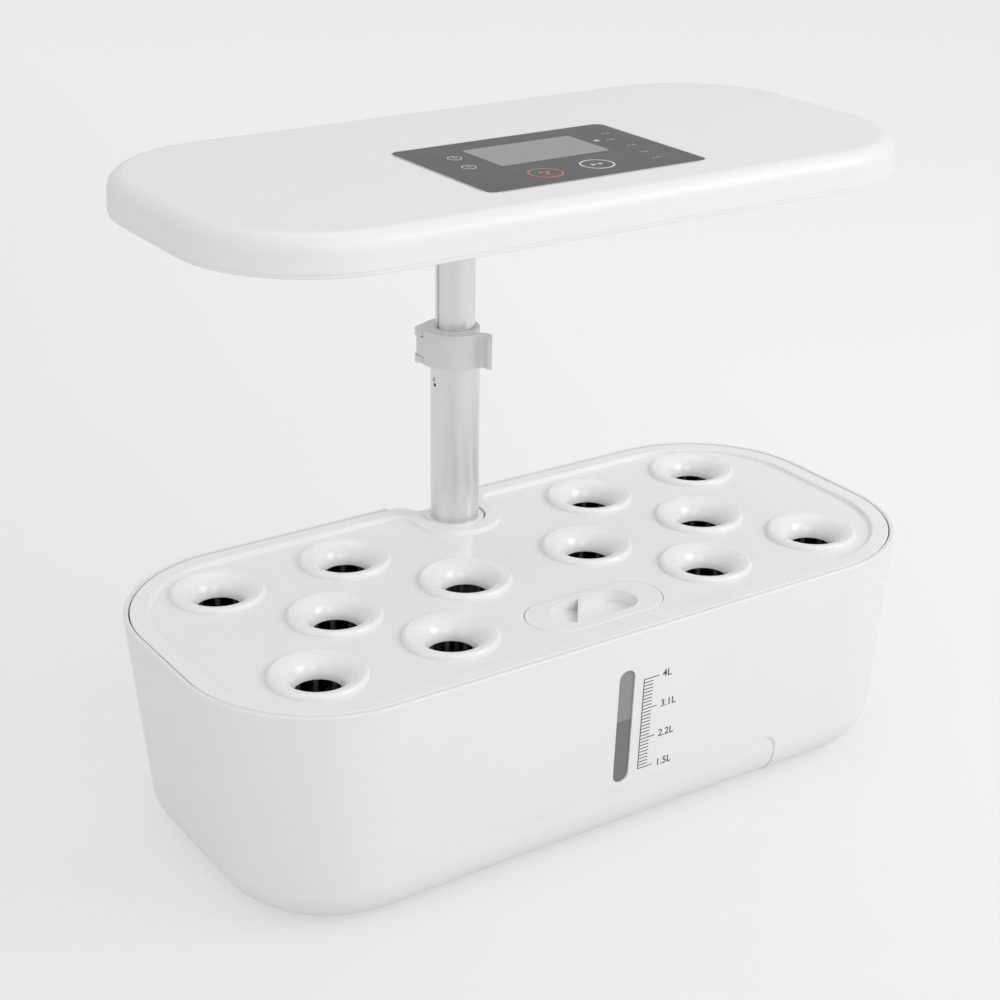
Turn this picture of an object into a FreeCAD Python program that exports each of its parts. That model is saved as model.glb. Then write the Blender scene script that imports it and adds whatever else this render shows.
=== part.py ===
import FreeCAD, Part
import math
import os

V = FreeCAD.Vector
UP = V(0, 0, 1)

# Countertop hydroponic garden, in millimetres. The pieces are built with the tank centred on
# x = 0, y = 0 and the table at z = 0. At the end all of them move together so that the origin
# is under the middle of the whole object's outline. Front is -Y.

# Tank: outer rim, drafts and base
LIP_Z = 108.0                # top of the tank's rim
LIP_HALF_X = 186.7
LIP_HALF_Y = 87.1
LIP_CORNER_R = 64.3
END_DRAFT = math.tan(math.radians(6.7))      # how far the two ends lean in
SIDE_DRAFT = math.tan(math.radians(2.66))    # how far the front and back lean in
CORNER_DRAFT = 0.116         # how fast the plan corners tighten downwards
BASE_EDGE_R = 20.0
FOOT_LIFT = 1.5              # clearance under the tank
SHELL_WALL = 2.2
SHELL_FLOOR = 4.0
LIP_EDGE_R = 0.8

# Shallow step moulded into the foot of the front wall
STEP_HALF_X = 87.0
STEP_TOP_Z = 29.6
STEP_CORNER_R = 9.0
STEP_DEPTH = 0.6

# Inner reservoir
LINER_GAP = 0.4
LINER_WALL = 1.6
LINER_TOP_Z = 103.6

# Base plate, feet and their screws
PLATE_HALF_X = 105.0
PLATE_HALF_Y = 34.0
PLATE_CORNER_R = 12.0
PLATE_T = 2.0
PLATE_GAP = 0.3
PLATE_LEDGE = 8.0
FOOT_X = 125.0
FOOT_Y = 46.0
FOOT_R = 7.0
FOOT_SINK = 1.5
BASE_SCREW_R = 1.25
BASE_SCREW_HEAD_R = 2.6
BASE_SCREW_HEAD_T = 1.4
BASE_SCREW_L = 3.6
BASE_SCREW_INSET = 6.0

# Water window in the front wall
WINDOW_X = -5.45
WINDOW_TOP_Z = 90.1
WINDOW_LOW_Z = 32.7
WINDOW_R = 4.25
WINDOW_SINK = 0.7
WINDOW_FIT = 0.15
WINDOW_FLANGE = 2.4
WINDOW_FLANGE_T = 1.4
GASKET_T = 0.8

# Pole socket at the back
POLE_Y = 63.2
OUTER_TUBE_R = 11.75
OUTER_TUBE_WALL = 1.2
SOCKET_WALL = 2.6
SOCKET_FIT = 0.05
SOCKET_LOW_Z = 21.0
SOCKET_POST_R = 8.0           # post on the reservoir floor that carries the socket
SOCKET_FLOOR = 4.0
SOCKET_TOP_Z = 107.4
SADDLE_TOP_Z = 102.0
SADDLE_T = 4.0
SADDLE_HALF_X = 21.5
SADDLE_GAP = 0.5
SADDLE_FLARE_R = 5.0
SADDLE_SCREW_X = 17.0
SADDLE_SCREW_R = 1.25
SADDLE_SCREW_HEAD_R = 2.6
SADDLE_SCREW_L = 12.0
SADDLE_BOSS_R = 3.6

# Grow deck
DECK_TOP_Z = 108.0
DECK_FLOOR_Z = 106.0
DECK_GAP = 0.6
BEAD_W = 8.0
BEAD_TOP_R = 0.8
DECK_EDGE_R = 0.5
BEAD_FOOT_R = 1.1
SKIRT_DROP = 6.6
SKIRT_T = 1.6
SKIRT_GAP = 0.5
NOTCH_GAP = 0.65
NOTCH_BEAD_W = 7.0
NOTCH_MOUTH_R = 8.0
POD_HOLE_R = 16.4

# Grow baskets: flange, trumpet throat and slotted cage
POD_BACK_Y = 47.7
POD_FRONT_Y = -44.7
POD_END_INSET = 51.1         # from the tank's end to the outermost pods
POD_INNER_SHIFT = 2.4        # how far the pods stand outside an even quarter pitch
POD_FAR_SHIFT = 0.7
POD_NEAR_SHIFT = 0.3
FLANGE_R = 21.5
FLANGE_H = 2.4
FLANGE_EDGE_H = 0.7
FLANGE_CREST_R = 19.0
THROAT_R = 10.5
THROAT_DEPTH = 8.9
CAGE_WALL = 1.5
CAGE_DEPTH = 46.0
CAGE_FOOT_R = 9.2
CAGE_FLOOR_T = 1.5
SLOT_COUNT = 8
SLOT_W = 6.4
SLOT_TOP_DROP = 9.6
SLOT_LOW_RISE = 5.0

# Fill lid
LID_Y = -52.9
LID_HALF_RUN = 19.25
LID_HOLE_R = 15.65
LID_GAP = 0.35
LID_PLATE_T = 1.8
LID_PROUD = 0.2
LID_LEDGE = 1.9
LID_PLUG_DEPTH = 6.4
LID_COLLAR_T = 1.6
LID_POCKET_HALF_RUN = 12.0
LID_POCKET_R = 9.8
LID_POCKET_DEPTH = 6.0
LID_WEB_T = 1.6
LID_WEB_X = -8.0
LID_WEB_TURN = 35.6          # degrees that the pinch web stands across the pocket

# Telescopic pole
OUTER_TUBE_TOP_Z = 188.1
INNER_TUBE_R = 9.35
INNER_TUBE_WALL = 1.4
INNER_TUBE_LOW_Z = 93.0
GROOVE_W = 1.8
GROOVE_DEPTH = 0.7
SLIDE_GAP = 0.15
BUSH_DEPTH = 28.0
KEY_GAP = 0.2
SLIDE_FOOT_H = 6.0
SLIDE_FOOT_GAP = 0.2
SLIDE_FOOT_PLUG_H = 6.0
PIN_DROP = 8.3               # below the top of the outer tube
PIN_R = 1.0
PIN_RECESS = 0.4
DRAIN_DROP = 2.5             # small hole below the pin
DRAIN_SHIFT_Y = -0.6
DRAIN_R = 0.9

# Quick clamp on top of the outer tube
CLAMP_H = 16.6
CLAMP_R = 13.6
CLAMP_SHIFT_X = -1.8
CLAMP_SHIFT_Y = 0.5
HINGE_X = -14.4
HINGE_Y = 5.6
LUG_R = 3.9
LUG_T = 3.35
HINGE_PIN_R = 1.25
HINGE_PIN_GAP = 0.1
LEVER_IN_R = 15.1
LEVER_T = 2.0
LEVER_START = 176.5
LEVER_END = 275.0
LEVER_BARREL_R = 3.1
LEVER_GAP = 0.3
TAB_CORNER_R = 2.4
TAB_R = 4.0
TAB_TURN = 150.0
BRAKE_W = 5.0
BRAKE_H = 8.0
BRAKE_GAP = 0.2

# Lamp head
LAMP_LOW_Z = 283.6
LAMP_H = 16.6
LAMP_HALF_X = 175.5
LAMP_HALF_Y = 85.8
LAMP_CORNER_R = 59.9
LAMP_Y = 12.3
LAMP_SIDE_LEAN = 0.8
LAMP_EDGE_R = 7.1
LAMP_WALL = 2.0
LAMP_COVER_T = 2.0
LAMP_SHADOW_GAP = 0.3
LAMP_LOWER_EDGE_R = 0.5
LAMP_RIM_H = 3.4
LAMP_RIM_T = 1.4
LAMP_RIM_GAP = 0.3
LAMP_SCREW_R = 1.4
LAMP_SCREW_HEAD_R = 2.8
LAMP_SCREW_HEAD_T = 1.2
LAMP_SCREW_L = 8.0
LAMP_BOSS_R = 4.0
LAMP_SCREW_INSET = 14.0

# Light engine
DIFFUSER_Y = -4.0
DIFFUSER_END_INSET = 30.5    # from the end of the lamp head
DIFFUSER_HALF_Y = 42.0
DIFFUSER_CORNER_R = 10.0
DIFFUSER_GAP = 0.3
DIFFUSER_FLANGE = 2.0
DIFFUSER_FLANGE_T = 1.2
BOARD_RISE = 3.6             # LED board above the lower cover's inside face
BOARD_T = 1.6
BOARD_MARGIN = 8.0
BOARD_BOSS_R = 2.8
BOARD_SCREW_R = 1.0
BOARD_SCREW_HEAD_R = 2.2
BOARD_SCREW_HEAD_T = 1.0
LED_ROWS = 5
LED_COLUMNS = 15
LED_PITCH_X = 19.0
LED_PITCH_Y = 17.0
LED_X = 3.5
LED_Y = 2.8
LED_T = 0.8

# Control panel and its electronics
PANEL_Y = -8.9
PANEL_X = 0.5
PANEL_HALF_X = 56.2
PANEL_HALF_Y = 40.15
PANEL_CORNER_R = 7.0
PANEL_T = 1.2
PANEL_GAP = 0.15
LCD_X = 1.3
LCD_Y = 1.9
LCD_HALF_X = 28.2
LCD_HALF_Y = 15.6
LCD_T = 2.2
LCD_FRAME = 1.6
CONTROL_HALF_X = 46.0
CONTROL_HALF_Y = 33.0
CONTROL_T = 1.4
CONTROL_SCREW_X = 42.0
CONTROL_SCREW_Y = 29.0
CONTROL_BOSS_R = 2.8

# Lamp hub under the head
HUB_R = 22.0
HUB_FLANGE_T = 3.0
HUB_NECK_R = 13.4
HUB_H = 12.0
HUB_FIT = 0.05
HUB_CAP_T = 2.0
HUB_WIRE_R = 4.0
FOOT_BORE_REACH = 20.0
HUB_SCREW_PCD_R = 17.6
HUB_SCREW_R = 1.4
HUB_SCREW_HEAD_R = 2.7
HUB_SCREW_HEAD_T = 1.6
HUB_SCREW_L = 8.0
HUB_BOSS_R = 3.8
HUB_BOSS_H = 4.0

# Power inlet in the back edge of the head
JACK_X = 46.0
JACK_RISE = 7.6
JACK_BODY_X = 9.0
JACK_BODY_Y = 14.0
JACK_BODY_Z = 8.0
JACK_BARREL_R = 4.0
JACK_HOLE_R = 3.0
JACK_HOLE_DEPTH = 9.5
JACK_PIN_R = 1.0
JACK_GAP = 0.2

# Circulation pump on the reservoir floor
PUMP_Y = 10.0
PUMP_HALF_X = 20.0
PUMP_HALF_Y = 15.0
PUMP_H = 24.0
PUMP_EDGE_R = 3.0
PUMP_FOOT_H = 3.0
PUMP_FOOT_R = 4.0
PUMP_AXIS_RISE = 12.0
IMPELLER_R = 8.0
IMPELLER_W = 4.5
IMPELLER_BLADES = 6
IMPELLER_BLADE_T = 1.2
IMPELLER_HUB_R = 2.6
IMPELLER_GAP = 0.8
ROTOR_R = 5.0
ROTOR_L = 16.0
SHAFT_R = 1.0
SHAFT_GAP = 0.08
PUMP_COVER_T = 8.0
INTAKE_SLOTS = 5
INTAKE_SLOT_W = 1.6
NOZZLE_R = 4.0
NOZZLE_BORE_R = 2.0
NOZZLE_H = 8.0
FILTER_T = 4.0
LEAD_R = 2.0
LEAD_BEND_R = 8.0
LEAD_RUN_Y = 40.0
LEAD_TOP_Z = 96.0
LEAD_LOW_RISE = 8.0

# Values that follow from the sizes above
TANK_Z = FOOT_LIFT
LINER_LOW_Z = TANK_Z + SHELL_FLOOR
LINER_FLOOR_Z = LINER_LOW_Z + LINER_WALL
LINER_OUT = SHELL_WALL + LINER_GAP
LINER_IN = LINER_OUT + LINER_WALL
DECK_IN = SHELL_WALL + DECK_GAP
DECK_LOW_Z = LINER_TOP_Z
SOCKET_BORE_R = OUTER_TUBE_R + SOCKET_FIT
SOCKET_OUT_R = SOCKET_BORE_R + SOCKET_WALL
NOTCH_R = SOCKET_OUT_R + NOTCH_GAP
OUTER_TUBE_LOW_Z = SOCKET_LOW_Z + SOCKET_FLOOR
OUTER_TUBE_BORE_R = OUTER_TUBE_R - OUTER_TUBE_WALL
CLAMP_Z = OUTER_TUBE_TOP_Z
LAMP_TOP_Z = LAMP_LOW_Z + LAMP_H
COVER_JOINT_Z = LAMP_LOW_Z + LAMP_COVER_T
INNER_TUBE_TOP_Z = LAMP_LOW_Z - HUB_CAP_T
BOARD_LOW_Z = COVER_JOINT_Z + BOARD_RISE
LAMP_CEILING_Z = LAMP_TOP_Z - LAMP_WALL
LCD_LOW_Z = LAMP_CEILING_Z - LCD_T
PIN_Z = OUTER_TUBE_TOP_Z - PIN_DROP
DIFFUSER_HALF_X = LAMP_HALF_X - DIFFUSER_END_INSET
POD_OUTER_X = LIP_HALF_X - POD_END_INSET
POD_STEP_X = POD_OUTER_X / 4.0
POD_INNER_X = 2.0 * POD_STEP_X + POD_INNER_SHIFT
POD_MIDDLE_FAR_X = 3.0 * POD_STEP_X + POD_FAR_SHIFT
POD_MIDDLE_NEAR_X = POD_STEP_X + POD_NEAR_SHIFT
CONTROL_LOW_Z = LCD_LOW_Z - CONTROL_T
PUMP_LOW_Z = LINER_FLOOR_Z + PUMP_FOOT_H
PUMP_AXIS_Z = PUMP_LOW_Z + PUMP_AXIS_RISE
PUMP_FRONT_Y = PUMP_Y - PUMP_HALF_Y
JACK_Z = LAMP_LOW_Z + JACK_RISE
LID_TOP_Z = DECK_FLOOR_Z + LID_PROUD
LID_SEAT_Z = LID_TOP_Z - LID_PLATE_T
LID_PLUG_R = LID_HOLE_R - LID_LEDGE - LID_GAP
ORIGIN_Y = (LAMP_Y + LAMP_HALF_Y - LIP_HALF_Y) / 2.0

POD_PLACES = (
    [(x, POD_BACK_Y) for x in (-POD_OUTER_X, -POD_INNER_X, POD_INNER_X, POD_OUTER_X)]
    + [(x, 0.0) for x in (-POD_MIDDLE_FAR_X, -POD_MIDDLE_NEAR_X, POD_MIDDLE_NEAR_X, POD_MIDDLE_FAR_X)]
    + [(x, POD_FRONT_Y) for x in (-POD_OUTER_X, -POD_INNER_X, POD_INNER_X, POD_OUTER_X)]
)


def arc(start, middle, end):
    return Part.Arc(start, middle, end).toShape()


def rounded_rect(half_x, half_y, radius, z, mid_x=0.0, mid_y=0.0):
    """Closed wire of a rectangle with round corners, level at height z."""
    edges = []
    diag = radius * math.sqrt(0.5)
    corners = [(1, 1), (-1, 1), (-1, -1), (1, -1)]
    ends = []
    for sx, sy in corners:
        cx = mid_x + sx * (half_x - radius)
        cy = mid_y + sy * (half_y - radius)
        on_x = V(cx + sx * radius, cy, z)
        on_y = V(cx, cy + sy * radius, z)
        middle = V(cx + sx * diag, cy + sy * diag, z)
        first, last = (on_x, on_y) if sx * sy > 0 else (on_y, on_x)
        ends.append((first, middle, last))
    for i, (first, middle, last) in enumerate(ends):
        edges.append(arc(first, middle, last))
        following = ends[(i + 1) % 4][0]
        edges.append(Part.LineSegment(last, following).toShape())
    return Part.Wire(edges)


def stadium(half_run, radius, z, mid_x=0.0, mid_y=0.0):
    """Closed wire of a slot shape that runs along X."""
    right, left = mid_x + half_run, mid_x - half_run
    return Part.Wire([
        Part.LineSegment(V(left, mid_y - radius, z), V(right, mid_y - radius, z)).toShape(),
        arc(V(right, mid_y - radius, z), V(right + radius, mid_y, z), V(right, mid_y + radius, z)),
        Part.LineSegment(V(right, mid_y + radius, z), V(left, mid_y + radius, z)).toShape(),
        arc(V(left, mid_y + radius, z), V(left - radius, mid_y, z), V(left, mid_y - radius, z)),
    ])


def upright_stadium(half_run, radius, depth):
    """Slot-shaped solid, long way up, from y = 0 to y = depth, centred on the origin."""
    wire = stadium(half_run, radius, 0.0)
    wire.rotate(V(0, 0, 0), V(0, 0, 1), 90)
    wire.rotate(V(0, 0, 0), V(1, 0, 0), 90)
    return Part.Face(wire).extrude(V(0, depth, 0))


def slab(wire, height):
    return Part.Face(wire).extrude(V(0, 0, height))


def rod(radius, height, x, y, z, axis=UP):
    return Part.makeCylinder(radius, height, V(x, y, z), axis)


def pipe(r_out, r_in, height, x, y, z):
    return rod(r_out, height, x, y, z).cut(rod(r_in, height, x, y, z))


def block(x0, x1, y0, y1, z0, z1):
    return Part.makeBox(x1 - x0, y1 - y0, z1 - z0, V(x0, y0, z0))


def revolve(edges):
    """Solid of revolution about Z of a closed profile drawn in the XZ plane."""
    return Part.Face(Part.Wire(edges)).revolve(V(0, 0, 0), UP, 360)


def line(a, b):
    return Part.LineSegment(V(a[0], 0, a[1]), V(b[0], 0, b[1])).toShape()


def bend(a, b, c):
    return arc(V(a[0], 0, a[1]), V(b[0], 0, b[1]), V(c[0], 0, c[1]))


def level_edges(shape, z):
    """Edges that lie wholly at height z."""
    return [e for e in shape.Edges if abs(e.BoundBox.ZMax - z) < 1e-5 and abs(e.BoundBox.ZMin - z) < 1e-5]


def tank_wire(z, inset):
    """The tank's plan outline at height z, moved in from its outer surface."""
    drop = LIP_Z - z
    return rounded_rect(
        LIP_HALF_X - drop * END_DRAFT - inset,
        LIP_HALF_Y - drop * SIDE_DRAFT - inset,
        LIP_CORNER_R - drop * CORNER_DRAFT - inset,
        z,
    )


def tank_form(inset, low_z, top_z, edge_r):
    """Drafted body inside the tank's outline with a rounded lower edge."""
    body = Part.makeLoft([tank_wire(low_z, inset), tank_wire(top_z, inset)], True, True)
    return body.makeFillet(edge_r, level_edges(body, low_z))


def front_y(z):
    """Y of the tank's front surface at height z."""
    return -(LIP_HALF_Y - (LIP_Z - z) * SIDE_DRAFT)


def on_front(shape):
    """Move a shape made at the origin onto the front wall at the window's place."""
    middle_z = (WINDOW_TOP_Z + WINDOW_LOW_Z) / 2.0
    shape.rotate(V(0, 0, 0), V(1, 0, 0), math.degrees(math.atan(SIDE_DRAFT)))
    shape.translate(V(WINDOW_X, front_y(middle_z), middle_z))
    return shape


def window_prism(extra_r, start, depth):
    half_run = (WINDOW_TOP_Z - WINDOW_LOW_Z) / 2.0 - WINDOW_R
    prism = upright_stadium(half_run, WINDOW_R + extra_r, depth)
    prism.translate(V(0, start, 0))
    return on_front(prism)


def saddle_opening(half_x, low_z):
    """Gap in the back wall behind the pole, with its top corners flared out."""
    y0, y1 = POLE_Y, LIP_HALF_Y + 5.0
    r = SADDLE_FLARE_R
    top = LIP_Z + 2.0
    diag = r * (1.0 - math.sqrt(0.5))
    profile = Part.Wire([
        Part.LineSegment(V(-half_x, y0, low_z), V(half_x, y0, low_z)).toShape(),
        Part.LineSegment(V(half_x, y0, low_z), V(half_x, y0, LIP_Z - r)).toShape(),
        arc(V(half_x, y0, LIP_Z - r), V(half_x + diag, y0, LIP_Z - diag), V(half_x + r, y0, LIP_Z)),
        Part.LineSegment(V(half_x + r, y0, LIP_Z), V(half_x + r, y0, top)).toShape(),
        Part.LineSegment(V(half_x + r, y0, top), V(-half_x - r, y0, top)).toShape(),
        Part.LineSegment(V(-half_x - r, y0, top), V(-half_x - r, y0, LIP_Z)).toShape(),
        arc(V(-half_x - r, y0, LIP_Z), V(-half_x - diag, y0, LIP_Z - diag), V(-half_x, y0, LIP_Z - r)),
        Part.LineSegment(V(-half_x, y0, LIP_Z - r), V(-half_x, y0, low_z)).toShape(),
    ])
    return Part.Face(profile).extrude(V(0, y1 - y0, 0))


def saddle_gap():
    return saddle_opening(SADDLE_HALF_X + SADDLE_GAP, SADDLE_TOP_Z - SADDLE_T)


def foot_places():
    return [(sx * FOOT_X, sy * FOOT_Y) for sx in (-1, 1) for sy in (-1, 1)]


def base_screw_places():
    x = PLATE_HALF_X - BASE_SCREW_INSET
    y = PLATE_HALF_Y - BASE_SCREW_INSET
    return [(sx * x, sy * y) for sx in (-1, 1) for sy in (-1, 1)] + [(0.0, -y), (0.0, y)]


def saddle_screw_y():
    return LIP_HALF_Y - SHELL_WALL - LINER_GAP - LINER_WALL - SADDLE_BOSS_R


def make_tank_shell():
    outer = tank_form(0.0, TANK_Z, LIP_Z, BASE_EDGE_R)
    step = block(-STEP_HALF_X, STEP_HALF_X, -LIP_HALF_Y - 5.0, -LIP_HALF_Y / 2.0, -20.0, STEP_TOP_Z)
    upper = [e for e in step.Edges if abs(e.BoundBox.ZMin - STEP_TOP_Z) < 1e-6 and e.BoundBox.YLength > 5.0]
    step = step.makeFillet(STEP_CORNER_R, upper)
    inner_face = outer.copy()
    inner_face.translate(V(0, STEP_DEPTH, 0))
    skin = outer.common(step).cut(inner_face)
    rim = level_edges(outer, LIP_Z)
    shell = outer.makeFillet(LIP_EDGE_R, rim).cut(skin)
    cavity = tank_form(SHELL_WALL, LINER_LOW_Z, LIP_Z + 1.0, BASE_EDGE_R - SHELL_FLOOR)
    rebate = slab(rounded_rect(PLATE_HALF_X + PLATE_GAP, PLATE_HALF_Y + PLATE_GAP,
                               PLATE_CORNER_R + PLATE_GAP, TANK_Z - 1.0), PLATE_T + 1.0)
    hatch = slab(rounded_rect(PLATE_HALF_X - PLATE_LEDGE, PLATE_HALF_Y - PLATE_LEDGE,
                              PLATE_CORNER_R - PLATE_LEDGE / 2.0, TANK_Z - 1.0), SHELL_FLOOR + 2.0)
    tools = [cavity, rebate, hatch, window_prism(0.0, -2.0, SHELL_WALL + 4.0), saddle_gap()]
    tools += [rod(FOOT_R + 0.1, FOOT_SINK + 1.0, x, y, TANK_Z - 1.0) for x, y in foot_places()]
    tools += [rod(BASE_SCREW_R, BASE_SCREW_L, x, y, TANK_Z) for x, y in base_screw_places()]
    return shell.cut(tools)


def make_reservoir():
    edge_r = BASE_EDGE_R - SHELL_FLOOR - LINER_GAP
    outer = tank_form(LINER_OUT, LINER_LOW_Z, LINER_TOP_Z, edge_r)
    cavity = tank_form(LINER_IN, LINER_FLOOR_Z, LINER_TOP_Z + 1.0, edge_r - LINER_WALL)
    liner = outer.cut(cavity)
    y = saddle_screw_y()
    low_z = SADDLE_TOP_Z - SADDLE_T
    bosses = []
    for side in (-1, 1):
        post = rod(SADDLE_BOSS_R, SADDLE_SCREW_L, side * SADDLE_SCREW_X, y, low_z - SADDLE_SCREW_L)
        rib = block(side * SADDLE_SCREW_X - 1.0, side * SADDLE_SCREW_X + 1.0, y, LIP_HALF_Y,
                    low_z - SADDLE_SCREW_L, low_z)
        bosses += [post, rib.common(outer)]
    bosses.append(rod(SOCKET_POST_R, SOCKET_LOW_Z - LINER_FLOOR_Z + 0.5, 0, POLE_Y, LINER_FLOOR_Z - 0.5))
    liner = liner.fuse(bosses)
    holes = [rod(SADDLE_SCREW_R, SADDLE_SCREW_L, side * SADDLE_SCREW_X, y, low_z - SADDLE_SCREW_L + 1.0)
             for side in (-1, 1)]
    return liner.cut([window_prism(WINDOW_FIT, -2.0, LINER_IN + 4.0), saddle_gap()] + holes)


def make_base_plate():
    plate = slab(rounded_rect(PLATE_HALF_X, PLATE_HALF_Y, PLATE_CORNER_R, TANK_Z), PLATE_T)
    tools = []
    for x, y in base_screw_places():
        tools.append(rod(BASE_SCREW_R + 0.15, PLATE_T, x, y, TANK_Z))
        tools.append(rod(BASE_SCREW_HEAD_R + 0.2, BASE_SCREW_HEAD_T, x, y, TANK_Z))
    return plate.cut(tools)


def make_base_screws():
    screws = []
    for x, y in base_screw_places():
        head = rod(BASE_SCREW_HEAD_R, BASE_SCREW_HEAD_T - 0.2, x, y, TANK_Z + 0.2)
        shank = rod(BASE_SCREW_R, BASE_SCREW_L - BASE_SCREW_HEAD_T, x, y, TANK_Z + BASE_SCREW_HEAD_T)
        drive = rod(1.1, 0.7, x, y, TANK_Z + 0.2)
        screws.append(head.fuse(shank).cut(drive))
    return Part.makeCompound(screws)


def make_foot_pads():
    pads = []
    for x, y in foot_places():
        pad = rod(FOOT_R, FOOT_LIFT + FOOT_SINK, x, y, 0.0)
        pads.append(pad.makeFillet(0.6, level_edges(pad, 0.0)))
    return Part.makeCompound(pads)


def make_water_window():
    flange_start = LINER_IN + GASKET_T
    lens = window_prism(-WINDOW_FIT, WINDOW_SINK, flange_start - WINDOW_SINK)
    flange = window_prism(WINDOW_FLANGE, flange_start, WINDOW_FLANGE_T)
    return lens.fuse(flange).removeSplitter()


def make_window_gasket():
    outer = window_prism(WINDOW_FLANGE, LINER_IN, GASKET_T)
    hole = window_prism(0.0, LINER_IN - 1.0, GASKET_T + 2.0)
    return outer.cut(hole)


def make_pole_socket():
    column = rod(SOCKET_OUT_R, SOCKET_TOP_Z - SOCKET_LOW_Z, 0, POLE_Y, SOCKET_LOW_Z)
    column = column.makeFillet(0.7, level_edges(column, SOCKET_TOP_Z))
    low_z = SADDLE_TOP_Z - SADDLE_T
    shelf = block(-SADDLE_HALF_X, SADDLE_HALF_X, POLE_Y, LIP_HALF_Y + 1.0, low_z, SADDLE_TOP_Z)
    shelf = shelf.common(tank_form(0.0, TANK_Z, LIP_Z, BASE_EDGE_R))
    bore = rod(SOCKET_BORE_R, SOCKET_TOP_Z, 0, POLE_Y, SOCKET_LOW_Z + SOCKET_FLOOR)
    lead_hole = rod(LEAD_R + 0.2, SOCKET_OUT_R + 1.0, 0, POLE_Y - SOCKET_OUT_R - 1.0, LEAD_TOP_Z, V(0, 1, 0))
    tools = [bore, lead_hole]
    for side in (-1, 1):
        x, y = side * SADDLE_SCREW_X, saddle_screw_y()
        tools.append(rod(SADDLE_SCREW_R + 0.15, SADDLE_T, x, y, low_z))
        tools.append(rod(SADDLE_SCREW_HEAD_R + 0.2, 1.6, x, y, SADDLE_TOP_Z - 1.6))
    return column.fuse(shelf).cut(tools)


def make_socket_screws():
    screws = []
    y = saddle_screw_y()
    for side in (-1, 1):
        x = side * SADDLE_SCREW_X
        head = rod(SADDLE_SCREW_HEAD_R, 1.5, x, y, SADDLE_TOP_Z - 1.6)
        shank = rod(SADDLE_SCREW_R, SADDLE_SCREW_L, x, y, SADDLE_TOP_Z - 1.6 - SADDLE_SCREW_L)
        drive = rod(1.1, 0.8, x, y, SADDLE_TOP_Z - 0.9)
        screws.append(head.fuse(shank).cut(drive))
    return Part.makeCompound(screws)


def u_notch(half_w, low_z, high_z):
    """U-shaped prism round the pole, open to the back."""
    height = high_z - low_z
    tower = rod(half_w, height, 0, POLE_Y, low_z)
    lane = block(-half_w, half_w, POLE_Y, LIP_HALF_Y + 20.0, low_z, high_z)
    return tower.fuse(lane).removeSplitter()


def upright_edges(shape, x, y):
    """Upright edges that pass within a millimetre of (+-x, y)."""
    found = []
    for e in shape.Edges:
        box = e.BoundBox
        upright = box.ZLength > 0.5 and box.XLength < 1.0 and box.YLength < 1.0
        if upright and abs(abs(box.Center.x) - x) < 1.0 and abs(box.Center.y - y) < 1.5:
            found.append(e)
    return found


def make_grow_deck():
    plate = Part.makeLoft([tank_wire(DECK_LOW_Z, DECK_IN), tank_wire(DECK_TOP_Z, DECK_IN)], True, True)
    plate = plate.cut(u_notch(NOTCH_R, DECK_LOW_Z - 1.0, DECK_TOP_Z + 1.0))
    back_y = LIP_HALF_Y - DECK_IN
    plate = plate.makeFillet(NOTCH_MOUTH_R, upright_edges(plate, NOTCH_R, back_y))
    plate = plate.makeFillet(DECK_EDGE_R, level_edges(plate, DECK_TOP_Z))

    inset = DECK_IN + BEAD_W
    pocket = slab(rounded_rect(LIP_HALF_X - inset, LIP_HALF_Y - inset, LIP_CORNER_R - inset,
                               DECK_FLOOR_Z), DECK_TOP_Z - DECK_FLOOR_Z + 1.0)
    bead_r = NOTCH_R + NOTCH_BEAD_W
    pocket = pocket.cut(u_notch(bead_r, DECK_FLOOR_Z - 1.0, DECK_TOP_Z + 2.0))
    pocket = pocket.makeFillet(NOTCH_MOUTH_R, upright_edges(pocket, bead_r, LIP_HALF_Y - inset))
    pocket = pocket.makeFillet(BEAD_FOOT_R, level_edges(pocket, DECK_FLOOR_Z))
    deck = plate.cut(pocket)
    bead_edges = [e for e in level_edges(deck, DECK_TOP_Z) if pocket.distToShape(e)[0] < 1e-4
                  and pocket.distToShape(Part.Vertex(e.valueAt(e.FirstParameter)))[0] < 1e-4
                  and pocket.distToShape(Part.Vertex(e.valueAt(e.LastParameter)))[0] < 1e-4]
    deck = deck.makeFillet(BEAD_TOP_R, bead_edges)

    skirt_z = DECK_LOW_Z - SKIRT_DROP
    skirt_in = LINER_IN + SKIRT_GAP
    skirt = Part.makeLoft([tank_wire(skirt_z, skirt_in), tank_wire(DECK_LOW_Z, skirt_in)], True, True)
    hollow_in = skirt_in + SKIRT_T
    hollow = Part.makeLoft([tank_wire(skirt_z, hollow_in), tank_wire(DECK_LOW_Z, hollow_in)], True, True)
    gap = u_notch(SADDLE_HALF_X + 2.0, skirt_z - 1.0, DECK_LOW_Z)
    skirt = skirt.cut([hollow, gap])

    collar_r = LID_PLUG_R + LID_GAP + LID_COLLAR_T
    collar_z = LID_SEAT_Z - LID_PLUG_DEPTH
    collar = slab(stadium(LID_HALF_RUN, collar_r, collar_z, 0, LID_Y), DECK_LOW_Z - collar_z)
    seat = slab(stadium(LID_HALF_RUN, LID_HOLE_R + LID_COLLAR_T, DECK_LOW_Z - 1.4, 0, LID_Y), 1.4)
    deck = deck.fuse([skirt, collar, seat])

    tools = [rod(POD_HOLE_R, 10.0, x, y, DECK_LOW_Z - 5.0) for x, y in POD_PLACES]
    tools.append(slab(stadium(LID_HALF_RUN, LID_HOLE_R, LID_SEAT_Z, 0, LID_Y), 10.0))
    tools.append(slab(stadium(LID_HALF_RUN, LID_PLUG_R + LID_GAP, collar_z - 1.0, 0, LID_Y), 20.0))
    return deck.cut(tools).removeSplitter()


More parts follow.
